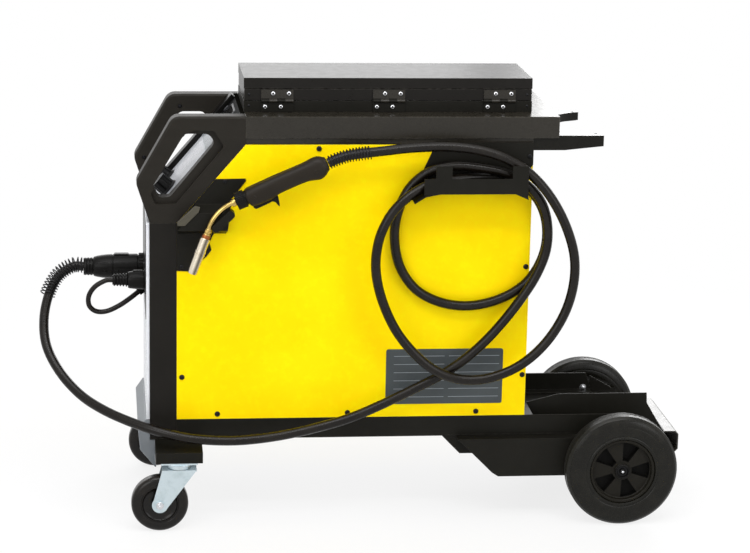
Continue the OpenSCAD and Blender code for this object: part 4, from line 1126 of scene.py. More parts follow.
    def polarity_plug(self) -> Piece:
        """The polarity plug: tapered body and a bend relief with five ribs."""
        base = at(self.face_x, self.polarity_y, self.socket_z)
        outline = [(-18, 5.9), (0, 5.9), (0, 15.6), (0.8, 16.5), (4, 16.6), (16, 16.2), (26, 15), (28.4, 14),
                   (28.8, 10.2)]
        for i in range(5):
            a = 29.6 + 5.3 * i
            r = 11.9 - 0.35 * i
            outline += [(a, 9.4), (a + 0.4, r), (a + 3, r), (a + 3.4, 9.4 - 0.2 * i)]
        outline += [(56, 8.2), (56, 4.7), (50, 4.7)]
        body = Bench.turned("polarity_plug_moulding", outline, base, (-1, 0, 0), 64)
        y = self.polarity_y
        key = Bench.block("polarity_plug_key", at(-490, y - 2, 436.4), at(-472, y + 2, 438.6))
        Bench.soften(key, 0.7)
        obj = Bench.joined("polarity_plug_moulding", [body, key])
        return Fit.stand(obj, Finish.BLACK_PLASTIC, "polarity_plug")

    def build(self) -> None:
        """Makes the cables and what is on them."""
        cable = Bench.tube("torch_cable_jacket", self.cable.line, self.cable_d / 2 * MM, 6, keep=True)
        Fit.stand(cable, Finish.CABLE, "torch_cable")
        lead = Bench.tube("polarity_lead_jacket", self.lead.line, self.lead_d / 2 * MM, 6, keep=True)
        Fit.stand(lead, Finish.CABLE, "polarity_lead")
        total = self.cable.length
        at_plug = self.spring("plug_spring", 0.0, 0.092, 16, -2.4)
        at_torch = self.spring("torch_spring", total - 0.078, total, 14)
        plug = self.torch_plug()
        polarity = self.polarity_plug()


# ---- Torch ----


@dataclass
class Torch:
    """The welding torch on its peg: grip, trigger, collar, neck and nozzle."""

    side_y: float = -178.0
    root: Pair = (-315.0, 586.0)
    tail: Pair = (-158.0, 653.0)
    lead_in: float = 7.0
    bend_r: float = 70.0
    nozzle_a: float = 70.0
    nozzle_r: float = 8.7
    collar_l: float = 17.0
    ring_points: int = 28
    bend_steps: int = 24
    pin: Pair = (28.0, -16.0)
    rise: float = field(init=False)
    frame_up: Matrix = field(init=False)

    def __post_init__(self) -> None:
        """Sets the torch's own axes: u along the grip, w across, v up."""
        du, dv = self.tail[0] - self.root[0], self.tail[1] - self.root[1]
        self.rise = math.atan2(dv, du)
        c, s = du / math.hypot(du, dv), dv / math.hypot(du, dv)
        x, y, z = self.root[0] * MM, self.side_y * MM, self.root[1] * MM
        self.frame_up = Matrix(((c, 0, -s, x), (0, 1, 0, y), (s, 0, c, z), (0, 0, 0, 1)))

    def on(self, u: float, w: float, v: float) -> Vector:
        """A place on the torch, in metres."""
        return self.frame_up @ at(u, w, v)

    def way(self, u: float, w: float, v: float) -> Vector:
        """A direction on the torch."""
        return self.frame_up.to_3x3() @ Vector((u, w, v))

    def bend(self, angle: float) -> Vector:
        """The neck's middle where it has turned to an angle from level."""
        sx = self.root[0] - self.lead_in * math.cos(self.rise)
        sz = self.root[1] - self.lead_in * math.sin(self.rise)
        cx, cz = sx + self.bend_r * math.sin(self.rise), sz - self.bend_r * math.cos(self.rise)
        return at(cx - self.bend_r * math.sin(angle), self.side_y, cz + self.bend_r * math.cos(angle))

    def nozzle_axis(self) -> tuple[Vector, Vector]:
        """Where the neck ends and the way the nozzle points."""
        n = math.radians(self.nozzle_a)
        return self.bend(n), Vector((-math.cos(n), 0, -math.sin(n)))

    def grip(self) -> Piece:
        """The moulded grip, drawn out ring by ring, with its trigger slot and seam."""
        stations = [
            (17.2, 12.6, -11.6, 12.8), (18.6, 14.2, -13.6, 14.6), (24, 15.2, -19, 16.4),
            (34, 15.7, -19.9, 17.2), (50, 16.2, -19.9, 17.4), (61, 16.6, -19.6, 17.4),
            (68, 16.8, -17.2, 17.3), (76, 17, -15.4, 17), (95, 17.1, -15, 16.6), (115, 17.2, -14.8, 16.2),
            (128, 17.4, -15.2, 16.2), (138, 17.9, -18, 16.6), (147, 19.2, -21, 17.2),
            (153, 19.4, -20.6, 17.4), (160, 17.2, -17.6, 16.8), (164.6, 14.4, -14.8, 15),
            (165.2, 13.4, -13.6, 13.8), (170.4, 12.6, -12.6, 12.6),
        ]
        rings = []
        for u, top, low, half in stations:
            mid, tall = (top + low) / 2, (top - low) / 2
            squareness = 0.72 if u < 164 else 1.0
            ring = []
            for i in range(self.ring_points):
                a = 2 * math.pi * i / self.ring_points
                w, v = (math.copysign(abs(part) ** squareness, part) for part in (math.cos(a), math.sin(a)))
                ring.append(self.on(u, half * w, mid + tall * v))
            rings.append(ring)
        body = Bench.loft("torch_grip_shell", rings)
        Bench.modify(body, "SUBSURF", levels=2, render_levels=2)
        slot = Bench.block("slot_tool", (0, 0, 0), (1, 1, 1))
        size = Matrix.Diagonal((*at(51, 13.2, 21), 1))
        Bench.cut(body, Bench.moved(slot, self.frame_up @ Matrix.Translation(at(21.5, -6.6, -30)) @ size))
        sections = []
        for u, top, _, _ in stations[3:13]:
            corners = ((-0.25, top - 0.6), (0.25, top - 0.6), (0.25, top + 0.35), (-0.25, top + 0.35))
            sections.append([self.on(u, w, v) for w, v in corners])
        seam = Bench.loft("torch_grip_seam", sections)
        places = [self.on(u, -16.6, -2) for u in (33, 146)]
        heads = screws("torch_grip_screw", places, self.way(0, -1, 0), 3.0, 1.1, 1.4)
        Bench.smooth(body, 40)
        foot = self.on(self.pin[0], -6.6, self.pin[1])
        pin = Bench.rod("torch_pin", foot, self.way(0, 1, 0), 13.2 * MM, 1.4 * MM, 20)
        obj = Bench.joined("torch_grip_shell", [body, seam, pin, *heads])
        return Fit.stand(obj, Finish.GRIP, "torch_grip")

    def trigger(self) -> Piece:
        """The trigger: a moulded lever with a curved tail, round its pin."""
        profile = [(23.6, -14.2), (24, -21.5), (27, -24.4), (45, -24), (58, -23.2), (61.6, -26.6),
                   (64.6, -35.6), (66.2, -35.4), (67.6, -30), (70, -18.4), (66, -14.4), (50, -15),
                   (35, -14.6)]
        outline = [self.on(u, -5.8, v) for u, v in profile]
        body = Bench.plate("torch_trigger_lever", outline, self.way(0, 11.6 * MM, 0))
        foot = self.on(self.pin[0], -8, self.pin[1])
        bore = Bench.rod("bore", foot, self.way(0, 1, 0), 16 * MM, 1.6 * MM, 24)
        Bench.cut(body, bore)
        Bench.soften(body, 0.8, 3, 28)
        ribs = []
        for i in range(5):
            rib = Bench.block(f"trigger_rib_{i}", (0, 0, 0), (0.9 * MM, 8.6 * MM, 0.7 * MM))
            ribs.append(Bench.moved(rib, self.frame_up @ Matrix.Translation(at(34 + 4 * i, -4.3, -24.7))))
        obj = Bench.joined("torch_trigger_lever", [body, *ribs])
        return Fit.stand(obj, Finish.BLACK_PLASTIC, "torch_trigger")

    def collar(self) -> Piece:
        """The knurled collar between grip and neck."""
        seat, ahead = self.on(0, 0, 0), self.way(1, 0, 0)
        ring = Bench.rod("torch_collar_knurl", seat, ahead, self.collar_l * MM, 14.6 * MM, 60)
        Bench.pick(ring, lambda f: abs(f.normal.dot(ahead)) > 0.9)
        bpy.ops.mesh.inset(thickness=1.2 * MM, depth=0)
        bpy.ops.mesh.inset(thickness=1.6 * MM, depth=-0.5 * MM)
        Bench.done()
        turned_ribs(ring, lambda f: abs(f.normal.dot(ahead)) < 0.1 and f.index % 2 == 0, 0.28, 0.85)
        Bench.soften(ring, 0.3, 2, 40)
        bands = []
        for a in (1.2, 14.2):
            outline = [(a, 14), (a, 15.6), (a + 0.7, 16), (a + 1.3, 15.6), (a + 1.3, 14)]
            bands.append(Bench.turned("torch_collar_band", outline, seat, ahead, 60))
        sleeve = Bench.turned("sleeve", [(15, 8), (15, 13), (21.5, 13), (21.5, 8)], seat, ahead, 48, True)
        obj = Bench.joined("torch_collar_knurl", [ring, *bands, sleeve])
        return Fit.stand(obj, Finish.BLACK_PLASTIC, "torch_collar")

    def neck(self) -> Piece:
        """The bent brass neck with its ferrule, gas diffuser and contact tip."""
        turn = math.radians(self.nozzle_a) - self.rise
        line = [self.on(3, 0, 0), self.on(0, 0, 0)]
        line += [self.bend(self.rise + turn * i / self.bend_steps) for i in range(self.bend_steps + 1)]
        end, way = self.nozzle_axis()
        line.append(end + way * 8 * MM)
        pipe = Bench.tube("torch_neck_pipe", line, 4.7 * MM, 6)
        head = Bench.turned(
            "torch_neck_head",
            [(3.5, 3.9), (4.5, 5.2), (6.5, 5.4), (7, 6.2), (10.5, 6.3), (11, 5.4), (12.4, 5.4), (13, 6.4),
             (18, 6.6), (18.6, 5.8), (20, 5.8), (20.4, 6.7), (22.5, 6.7), (23, 5.4), (34, 5.3), (34, 3.4),
             (40, 3.2), (82, 2.6), (84, 2.1), (84, 0.8), (80, 0.7)],
            end, way, 40,
        )
        outline = [(-8, 4.0), (-8, 6.4), (-6.8, 7), (-1.6, 7.2), (-0.4, 6.6), (-0.4, 4)]
        ferrule = Bench.turned("torch_neck_ferrule", outline, self.on(0, 0, 0), self.way(1, 0, 0), 40)
        obj = Bench.joined("torch_neck_pipe", [pipe, head, ferrule])
        return Fit.stand(obj, Finish.BRASS, "torch_neck")

    def insulator(self) -> Piece:
        """The copper-coloured insulating ring behind the nozzle."""
        end, way = self.nozzle_axis()
        outline = [(15.6, 6.6), (16, 7.4), (19.4, 7.6), (19.9, 7), (21.7, 7), (21.7, 5.9), (15.6, 5.9)]
        ring = Bench.turned("torch_insulator", outline, end, way, 40, True)
        return Fit.hang(ring, Finish.COPPER, "torch_neck")

    def nozzle(self) -> Piece:
        """The drawn nozzle: chamfered mouth, a pair of raised rings and a bored inside, with a reflection
        painted on in dark bands.
        """
        end, way = self.nozzle_axis()
        r = self.nozzle_r
        obj = Bench.turned(
            "torch_nozzle_shell",
            [(22, 5.5), (22, r - 0.7), (22.7, r), (45.4, r), (45.8, r + 0.85), (48.4, r + 0.85),
             (48.9, r - 0.1), (50.6, r - 0.1), (51.1, r + 0.8), (53.2, r + 0.8), (53.7, r), (78, r - 0.05),
             (84, r - 0.5), (87.4, r - 1), (88, r - 1.5), (87.6, 5.7), (60, 5.5)],
            end, way, 56, True,
        )
        side = way.cross(Vector((0, 1, 0))).normalized()

        def painted_reflection_bands(vertex: Any) -> float:
            """How dark the painted reflection is, by the angle round the nozzle."""
            off = vertex.co - end
            off -= way * off.dot(way)
            a = math.atan2(off.dot(side), -off.y)
            return max(0.0, math.sin(3.2 * a + 0.6)) * (0.4 + 0.6 * abs(math.cos(a)))

        # Painted reflection: dark bands round the nozzle, strongest on the sides facing along y
        Bench.mark(obj, "painted_reflection_bands", "POINT", painted_reflection_bands)
        return Fit.stand(obj, Finish.NOZZLE, "torch_nozzle")

    def build(self) -> None:
        """Makes the torch."""
        for make in (self.grip, self.trigger, self.collar, self.neck, self.insulator, self.nozzle):
            make()


# ---- Running gear ----


@dataclass
class RunningGear:
    """Rear wheels on their axle, and the front casters."""

    axle_x: float = 373.0
    wheel_y: float = 187.5
    axle_z: float = 100.0
    tyre_r: float = 100.0
    tyre_w: float = 45.0
    rim_r: float = 58.0
    caster: Point = (-446.0, 184.0, 50.0)
    caster_r: float = 50.0
    caster_w: float = 30.0
    tread_pitch: float = 4.3

    def tyre(self, name: str) -> Piece:
        """One rear tyre: ribbed tread, rounded shoulders and ringed walls, round the origin's Y axis."""
        h, r, bead = self.tyre_w / 2, self.tyre_r, self.rim_r
        half = [(h - 3, bead), (h - 1.2, bead + 1.5), (h - 0.8, bead + 5), (h - 1.8, bead + 6.2),
                (h - 1.8, bead + 7.6), (h - 0.6, bead + 9), (h, bead + 15), (h - 0.2, bead + 22),
                (h - 1.2, bead + 24), (h - 1.2, bead + 25.4), (h - 0.9, bead + 26.6), (h - 2.4, r - 9),
                (h - 3.9, r - 6.4), (h - 4.7, r - 6.2), (h - 5, r - 5), (h - 6.6, r - 3.4),
                (h - 8.6, r - 1.9), (h - 9.5, r - 1.2)]
        x = h - 10.5
        while x > 0.5:
            half += [(x, r - 0.2), (x - 2.6, r), (x - 3, r - 1.3), (x - 3.9, r - 1.3)]
            x -= self.tread_pitch
        outline = half + [(-a, b) for a, b in reversed(half)] + [(-h + 8, bead), (h - 8, bead)]
        return Bench.turned(name, outline, (0, 0, 0), (0, 1, 0), 96, True)

    def caster_tyre(self, name: str) -> Piece:
        """One caster wheel: solid tyre with a glossy bead round a dished hub."""
        h = self.caster_w / 2
        side = [(h + 1.4, 5.2), (h + 1.4, 9.5), (h + 0.8, 10.4), (h - 5.2, 11), (h - 6, 13), (h - 5.4, 22),
                (h - 4.2, 28), (h - 1.6, 30.4), (h - 0.6, 31), (h - 0.5, 32.4), (h - 1.4, 33.2),
                (h - 1.2, 34.6), (h - 0.3, 36), (h, 39), (h - 0.4, 42.6), (h - 1.8, 46), (h - 4.6, 48.8),
                (h - 8.4, 49.9)]
        outline = side + [(-a, b) for a, b in reversed(side)]
        return Bench.turned(name, outline, (0, 0, 0), (0, 1, 0), 80, True)

    def wear(self, obj: Piece, centre: Vector, low: float, high: float) -> None:
        """Marks the part of a wheel that touches the floor as worn.

        Args:
            obj: The wheel.
            centre: Its middle.
            low: The radius where the wear starts, in millimetres.
            high: The radius from which it is full.
        """
        def worn(vertex: Any) -> float:
            """How worn the wheel is, by the distance from its axis."""
            r = math.hypot(vertex.co.x - centre.x, vertex.co.z - centre.z) / MM
            return max(0.0, min(1.0, (r - low) / (high - low)))

        Bench.mark(obj, "worn", "POINT", worn)

    def rim(self, side: int, name: str) -> Piece:
        """One rim: five dished spokes between wedge-shaped pockets, its hub and its bead flanges."""
        node = f"rear_rim_{name}"
        r = self.rim_r
        outline = [(16.5, 6.9), (16.5, 12.8), (15.8, 13.8), (13, 14.4), (12.6, 17), (10.8, 50), (12, 51.8),
                   (18, 52.6), (19.5, 54), (19.5, r - 1), (18.8, r), (-18.8, r), (-19.5, r - 1),
                   (-19.5, r - 4), (-18.6, r - 5), (-7, r - 6), (-6, r - 8), (-6, 18), (-16.5, 17),
                   (-16.5, 6.9)]
        obj = Bench.turned(f"{node}_spokes", outline, (0, 0, 0), (0, -1, 0), 100, True)
        half, floor_y, inner, outer = math.radians(17.6), 1.5, 17.8, 50.4
        for i in range(5):
            middle = math.radians(-1 + 72 * i)
            turns = [middle + half * f for f in (-1, -0.5, 0, 0.5, 1)]
            sides = ((inner, turns), (outer, turns[::-1]))
            wedge = [at(q * math.cos(a), floor_y, q * math.sin(a)) for q, arc in sides for a in arc]
            Bench.cut(obj, Bench.plate("wedge", wedge, at(0, -30, 0)))
        place = Matrix.Translation(at(self.axle_x, side * self.wheel_y, self.axle_z))
        Bench.moved(obj, place @ Matrix.Rotation(math.pi if side > 0 else 0.0, 4, "Z"))
        Bench.soften(obj, 0.6, 2, 30)

        def painted_pocket_shade(polygon: Any) -> bool:
            """Whether a face lies in a pocket, where shade is painted dark."""
            c = polygon.center / MM
            q = math.hypot(c.x - self.axle_x, c.z - self.axle_z)
            return inner - 0.3 < q < outer + 0.4 and -3 < c.y * side - self.wheel_y < 9.6

        # Painted shade: the pocket faces are marked so that the plastic is darkened there
        Bench.mark(obj, "painted_pocket_shade", "FACE", painted_pocket_shade)
        return Fit.stand(obj, Finish.RIM_PLASTIC, node)

    def hub_cap(self, side: int, name: str) -> None:
        """The push-on cap that holds a rear wheel, and the axle's bright tip in it."""
        face = self.wheel_y + self.tyre_w / 2 - 6
        base = at(self.axle_x, side * face, self.axle_z)
        outline = [(0.7, 0), (0.7, 13.2), (3.4, 13.7), (4.6, 13.2), (5.4, 12), (5.4, 10.4), (4.2, 9.4),
                   (1.6, 8.6), (1.6, 6.4), (5.2, 5.8), (5.9, 5), (5.9, 3.6), (3.4, 3.2), (3.4, 0)]
        point = [(3.3, 0), (3.3, 2.4), (5.6, 2.2), (6.2, 1.4), (6.4, 0.6), (6.4, 0)]
        cap = Bench.turned(f"hub_cap_{name}", outline, base, (0, side, 0), 48)
        tip = Bench.turned(f"hub_tip_{name}", point, base, (0, side, 0), 32)
        Fit.hang(cap, Finish.BLACK_PLASTIC, "axle")
        Fit.hang(tip, Finish.BRIGHT, "axle")

    def axle_bolt(self, side: int, name: str) -> Piece:
        """The washer and bolt head on a caster's outer fork leg."""
        leg = [Vector(c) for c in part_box(f"caster_fork_{name}")]
        y = leg[0].y if side < 0 else leg[1].y
        place = Vector((self.caster[0] * MM, y - side * 0.2 * MM, self.caster[2] * MM))
        ring = [(0, 4), (0, 6.4), (0.6, 6.7), (1.3, 6.2), (1.3, 4)]
        washer = Bench.turned("washer", ring, place, (0, side, 0), 40, True)
        head = Bench.rod("head", place + at(0, side * 1.1, 0), (0, side, 0), 2.6 * MM, 4.8 * MM, 6)
        Bench.soften(head, 0.5)
        point = [(3.4, 0), (3.4, 2), (4.6, 1.8), (5, 1.1), (5.1, 0)]
        tip = Bench.turned("tip", point, place, (0, side, 0), 24)
        return Bench.joined(f"caster_axle_bolt_{name}", [washer, head, tip])

    def build(self) -> None:
        """Makes the wheels, the casters and their brackets."""
        for side, name in ((-1, "near"), (1, "far")):
            node = f"rear_tyre_{name}"
            centre = at(self.axle_x, side * self.wheel_y, self.axle_z)
            tyre = Bench.moved(self.tyre(f"{node}_tread"), Matrix.Translation(centre))
            self.wear(tyre, centre, self.tyre_r - 7, self.tyre_r - 1)
            Fit.stand(tyre, Finish.TYRE, node)
            self.rim(side, name)
            self.hub_cap(side, name)
            node = f"caster_wheel_{name}"
            hub = at(self.caster[0], side * self.caster[1], self.caster[2])
            roller = Bench.moved(self.caster_tyre(f"{node}_tread"), Matrix.Translation(hub))
            self.wear(roller, hub, self.caster_r - 4, self.caster_r - 0.5)
            Fit.stand(roller, Finish.CASTER, node)
            Fit.skin(f"caster_fork_{name}", Finish.ZINC, 0.7)
            Fit.hang(self.axle_bolt(side, name), Finish.BRIGHT, f"caster_fork_{name}")
        Fit.skins(("caster_plates", Finish.ZINC, 0.5), ("axle", Finish.DARK_STEEL, 0.6))


# ---- Cabinet ----


def beside(point: Pair, outline: Sequence[Pair], reach: float, closed: bool = True) -> bool:
    """Whether a point of a plane lies within reach of an outline.

    Args:
        point: The point.
        outline: The outline's corners.
        reach: The furthest distance that counts.
        closed: Whether the last corner joins the first.

    Returns:
        True where it does.
    """
    p = Vector(point)
    ends = [*outline[1:], outline[0]] if closed else outline[1:]
    for a, b in zip(outline, ends):
        a, b = Vector(a), Vector(b)
        t = max(0.0, min(1.0, (p - a).dot(b - a) / (b - a).length_squared))
        if (p - a.lerp(b, t)).length < reach:
            return True
    return False


@dataclass
class Cabinet:
    """Panels, cover, posts, rails and tray: softened sheet metal with seams, screws and a blank plate."""

    x1: float = 205.0
    low: float = 186.0
    half: float = 136.0
    tray_edge: float = 35.0
    tray_short: float = 15.0

    def skins(self) -> None:
        """Softens the sheet-metal nodes; the tray's floor ends a little short of the bumper."""
        pan = Fit.merged("base_pan")
        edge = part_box("base_pan")[1][0] - self.tray_edge * MM
        for v in pan.data.vertices:
            if v.co.x > edge:
                v.co.x -= self.tray_short * MM
        Fit.stand(Bench.soften(pan, 0.6), Finish.BLACK_PAINT, "base_pan")
        black, cover, yellow = Finish.BLACK_PAINT, Finish.COVER_PAINT, Finish.YELLOW_PAINT
        Fit.skins(
            ("bottom_rails", black, 0.9), ("axle_carrier", black, 0.9), ("rear_panel", black, 0.4),
            ("caster_hoods", black, 0.8), ("bottle_guide", black, 0.7), ("fan_frame", black, 0.8),
            ("front_posts", Finish.POST_PAINT, 0.8), ("top_cover", cover, 0.9), ("rear_bumper", cover, 0.9),
            ("bottle_yoke", Finish.YOKE_PAINT, 0.6), ("side_panel", yellow, 0.5),
            ("access_door", yellow, 0.5), ("door_latch", Finish.ZINC, 0.6),
        )

    def panel_screws(self) -> None:
        """Button screws with sockets, along the panel's edges and on the brackets."""
        sheet = [(245, 484), (9, 77), (71.5, 9), (302, 8.5), (532, 8), (613.5, 272.5), (613.5, 75)]
        brackets = [(83, 614), (8.3, 463), (613.5, 657)]
        groups = ((4.75, [at(FRONT_X + x, -self.half, self.low + z) for x, z in sheet]),
                  (3.75, [at(FRONT_X + x, -self.half - 2, z) for x, z in brackets]))
        heads = []
        for r, places in groups:
            heads += screws("panel_screw", places, (0, -1, 0), r, 2.4, r * 0.52)
        Fit.stand(Bench.joined("panel_button_screws", heads), Finish.DARK_STEEL, "panel_screws")

    def rear_screws(self) -> None:
        """Screws that hold the rear panel and the fan's frame."""
        sites = [(-120, 660), (0, 660), (120, 660), (-126, 420), (126, 420), (-100, 200), (100, 200)]
        sites += [(-64 + dy, 336 + dz) for dy in (-54, 54) for dz in (-54, 54)]
        heads = screws("rear_screw", [at(self.x1, y, z) for y, z in sites], (1, 0, 0), 3.8, 1.8, 2.0)
        Fit.hang(Bench.joined("rear_button_screws", heads), Finish.DARK_STEEL, "panel_screws")

    def tray_bolts(self) -> None:
        """The dome bolts that hold the tray to the far rail and to the bumper."""
        sites = [((364, 133.2, 157.5), (0, -1, 0), 4.6)]
        sites += [((452, y, 144.5), (0, 0, 1), 5.0) for y in (60, -60)]
        heads = []
        for place, out, r in sites:
            dome = [(0, 0), (0, r * 1.35), (1, r * 1.35), (1.2, r), (2.6, r * 0.92), (3.8, r * 0.6), (4.2, 0)]
            heads.append(Bench.turned("tray_bolt", dome, at(*place), out, 32))
        Fit.hang(Bench.joined("tray_dome_bolts", heads), Finish.BRIGHT, "base_pan")

    def blank_plate(self) -> None:
        """A bare plate low on the side panel, with a sunk field and thin ruled lines."""
        plate = Bench.block("blank_plate", at(-46, -136.6, 209), at(163, -135.9, 310))
        Bench.pick(plate, lambda e: abs((e.verts[0].co - e.verts[1].co).normalized().y) > 0.9, "EDGE")
        bpy.ops.mesh.bevel(offset=4 * MM, segments=5)
        Bench.done()
        Bench.pick(plate, lambda f: f.normal.y < -0.9)
        bpy.ops.mesh.inset(thickness=1.6 * MM, depth=0)
        bpy.ops.mesh.inset(thickness=0.6 * MM, depth=-0.25 * MM)
        Bench.done()
        Fit.hang(Bench.smooth(plate, 30), Finish.PLATE_GREY, "side_panel")
        rules = []
        for i in range(6):
            z = 222 + 15 * i
            for x0, x1 in ((-32, 58), (66, 156)):
                rules.append(Bench.block("rule", at(x0, -136.75, z - 0.45), at(x1, -136.3, z + 0.45)))
        Fit.hang(Bench.joined("blank_plate_rules", rules), Finish.RULE_GREY, "side_panel")

    def build(self) -> None:
        """Makes the cabinet's pieces."""
        for make in (self.skins, self.panel_screws, self.rear_screws, self.tray_bolts, self.blank_plate):
            make()


@dataclass
class Handles:
    """The two moulded handles with rounded rims and cap screws."""

    inner: float = 100.0
    outer: float = 136.0
    node_depth: float = 4.0
    field_depth: float = 9.5
    outline: Sequence[Pair] = ((-47, -137), (-71, -65), (-7, 49), (118, 49))
    hole: Sequence[Pair] = ((12, 17.5), (55, 17.5), (66, 2), (-12, -93.5), (-32, -93.5), (-41, -72))

    def shape(self, node: str, side: int) -> Piece:
        """One handle with its rim, finger hole and sunk field rounded."""
        obj = Fit.merged(node)
        for v in obj.data.vertices:
            if abs(v.co.y * side / MM - self.outer + self.node_depth) < ON_PLANE:
                v.co.y = side * (self.outer - self.field_depth) * MM
        rim = [(x + FRONT_X, z + TOP_Z) for x, z in self.outline]
        hole = [(x + FRONT_X, z + TOP_Z) for x, z in self.hole]

        def along(edge: Any, line: Sequence[Pair], reach: float, ys: Sequence[float],
                  closed: bool = True) -> bool:
            """Whether an edge runs along an outline on one of some planes."""
            middle = (edge.verts[0].co + edge.verts[1].co) / 2
            for co in (*(v.co for v in edge.verts), middle):
                if min(abs(co.y / MM * side - q) for q in ys) > ON_PLANE:
                    return False
                if not beside((co.x / MM, co.z / MM), line, reach, closed):
                    return False
            return edge.calc_face_angle(0) > 0.6

        Bench.pick(obj, lambda e: along(e, rim, 8.5, (self.inner, self.outer), False), "EDGE")
        bpy.ops.mesh.bevel(offset=4.5 * MM, segments=5, affect="EDGES", clamp_overlap=True)
        Bench.done()
        Bench.pick(obj, lambda e: along(e, hole, 6, (self.inner, self.outer - self.field_depth)), "EDGE")
        bpy.ops.mesh.bevel(offset=1.6 * MM, segments=3, affect="EDGES", clamp_overlap=True)
        Bench.done()
        return Bench.soften(obj, 0.8, 2, 40)

    def build(self) -> None:
        """Makes both handles and their screws."""
        for side, node in ((-1, "handle_near"), (1, "handle_far")):
            Fit.stand(self.shape(node, side), Finish.HANDLE, node)
            sites = ((12.7, 27), (-52, -67))
            places = [at(FRONT_X + x, side * (self.inner + 3), TOP_Z + z) for x, z in sites]
            heads = screws("handle_screw", places, (0, -side, 0), 3.7, 2.2, 1.9)
            Fit.hang(Bench.joined(f"{node}_cap_screws", heads), Finish.DARK_STEEL, node)


@dataclass
class Console:
    """Sloping control panel, front panel, cowl, knobs, scales and sockets."""

    foot: Pair = (-462.0, 540.0)
    slope: float = 49.41
    knob_along: float = 55.0
    knob_y: float = 45.0
    side: float = 99.0
    top_u: float = 243.4
    tilt: Matrix = field(init=False)
    out: Vector = field(init=False)

    def __post_init__(self) -> None:
        """Sets the console's own axes: up the slope, across, out of it."""
        lean = Matrix.Rotation(-math.radians(self.slope), 4, "Y")
        self.tilt = Matrix.Translation(at(self.foot[0], 0, self.foot[1])) @ lean
        self.out = self.tilt.to_3x3() @ Vector((0, 0, 1))

    def knob(self, node: str, y: float) -> None:
        """A turned knob with finger flutes, a skirt and a pointer."""
        centre, out = self.tilt @ at(self.knob_along, y, 0.6), self.out
        body = Bench.rod(f"{node}_cap", centre + out * 3.5 * MM, out, 22 * MM, 16.4 * MM, 36, 15.2 * MM)
        turned_ribs(body, lambda f: abs(f.normal.dot(out)) < 0.3 and f.index % 3 == 0, 0.25, -0.9)
        Bench.pick(body, lambda f: f.normal.dot(out) > 0.9)
        bpy.ops.mesh.inset(thickness=1.4 * MM, depth=-0.5 * MM)
        Bench.done()
        Bench.soften(body, 0.5, 2, 40)
        outline = [(0, 0), (0, 18.6), (0.5, 19), (1.6, 18.8), (3.2, 17.2), (3.8, 16), (3.8, 0)]
        skirt = Bench.turned(f"{node}_skirt", outline, centre, out, 48)
        outline = [(-11, 0), (-11, 6.8), (-4.2, 6.8), (-4.2, 4), (0, 4), (0, 0)]
        shaft = Bench.turned(f"{node}_shaft", outline, centre, out, 24)
        pointer = Bench.block(f"{node}_pointer", at(4, -0.9, 20.8), at(15, 0.9, 25.5))
        Bench.moved(pointer, self.tilt @ Matrix.Translation(at(self.knob_along, y, 0.6)))
        Bench.soften(pointer, 0.3, 1)
        Fit.stand(Bench.joined(f"{node}_moulding", [body, skirt, shaft]), Finish.KNOB, node)
        Fit.hang(pointer, Finish.GREY_INK, node)

    def on_face(self, name: str, u: Pair, y: Pair, rise: float, finish: Finish, round_mm: float) -> None:
        """A thin plate on the console's face.

        Args:
            name: Its name.
            u: From and to, up the slope.
            y: From and to, across.
            rise: How far it stands out.
            finish: Its finish.
            round_mm: The rounding of its edges.
        """
        made = Bench.moved(Bench.block(name, at(u[0], y[0], -0.2), at(u[1], y[1], rise)), self.tilt)
        Fit.hang(Bench.soften(made, round_mm), finish, "control_panel")

    def scales(self) -> None:
        """Ticks round each knob, printed on the console."""
        for node, y in (("wire_scale", self.knob_y), ("volt_scale", -self.knob_y)):
            ticks = []
            for i in range(11):
                a = math.radians(-140 + 28 * i)
                long = 3.4 if i % 5 == 0 else 2.2
                tick = Bench.block("tick", at(17.6, -0.35, 0), at(17.6 + long, 0.35, 0.12))
                turn = self.tilt @ Matrix.Translation(at(self.knob_along, y, 0)) @ Matrix.Rotation(a, 4, "Z")
                ticks.append(Bench.moved(tick, turn))
            Fit.hang(Bench.joined(node, ticks), Finish.DARK_INK, "control_panel")

    def face(self) -> None:
        """The dark fascia at the top of the console, with its display, keys, cheeks and end piece."""
        side, top_u = self.side, self.top_u
        self.on_face("console_band", (152, 196), (-side, 72), 0.8, Finish.FASCIA_GREY, 0.3)
        self.on_face("console_fascia", (194, top_u), (-side, 72), 1.6, Finish.GLOSS, 0.6)
        self.on_face("console_display_frame", (203, 236), (-38, 38), 2.2, Finish.DARK_INK, 0.4)
        self.on_face("console_display", (206, 233), (-35, 35), 2.6, Finish.SCREEN, 0.5)
        self.on_face("console_cheek_far", (2, top_u), (72, side), 9.5, Finish.BLACK_PLASTIC, 1.2)
        self.on_face("console_cheek_near", (2, top_u), (-side, -95), 2.2, Finish.BLACK_PLASTIC, 0.8)
        for i, y in enumerate((-78, -58, 56)):
            outline = [(0, 0), (0, 6), (1.2, 6), (2, 5.2), (2.3, 3.8), (2, 0)]
            key = Bench.turned(f"console_key_{i}", outline, self.tilt @ at(219, y, 1.5), self.out, 32)
            Fit.hang(key, Finish.DARK_INK, "control_panel")
        x, z = self.foot[0] + 158.5, self.foot[1] + 185
        strip = Bench.block("console_top_strip", at(x - 1.5, -side, z - 1), at(x + 6.2, side, z + 1.6))
        Fit.hang(Bench.soften(strip, 0.5), Finish.MATTE, "control_panel")
        outline = [(-25, -25), (-19, -12), (-13, -3), (-7, 1.5), (-1, 3), (5, 3), (5, -8)]
        end = Bench.plate("console_end_far", [at(x + a, 88, z + b) for a, b in outline], at(0, 12, 0))
        Fit.hang(Bench.soften(end, 1.0), Finish.MATTE, "control_panel")

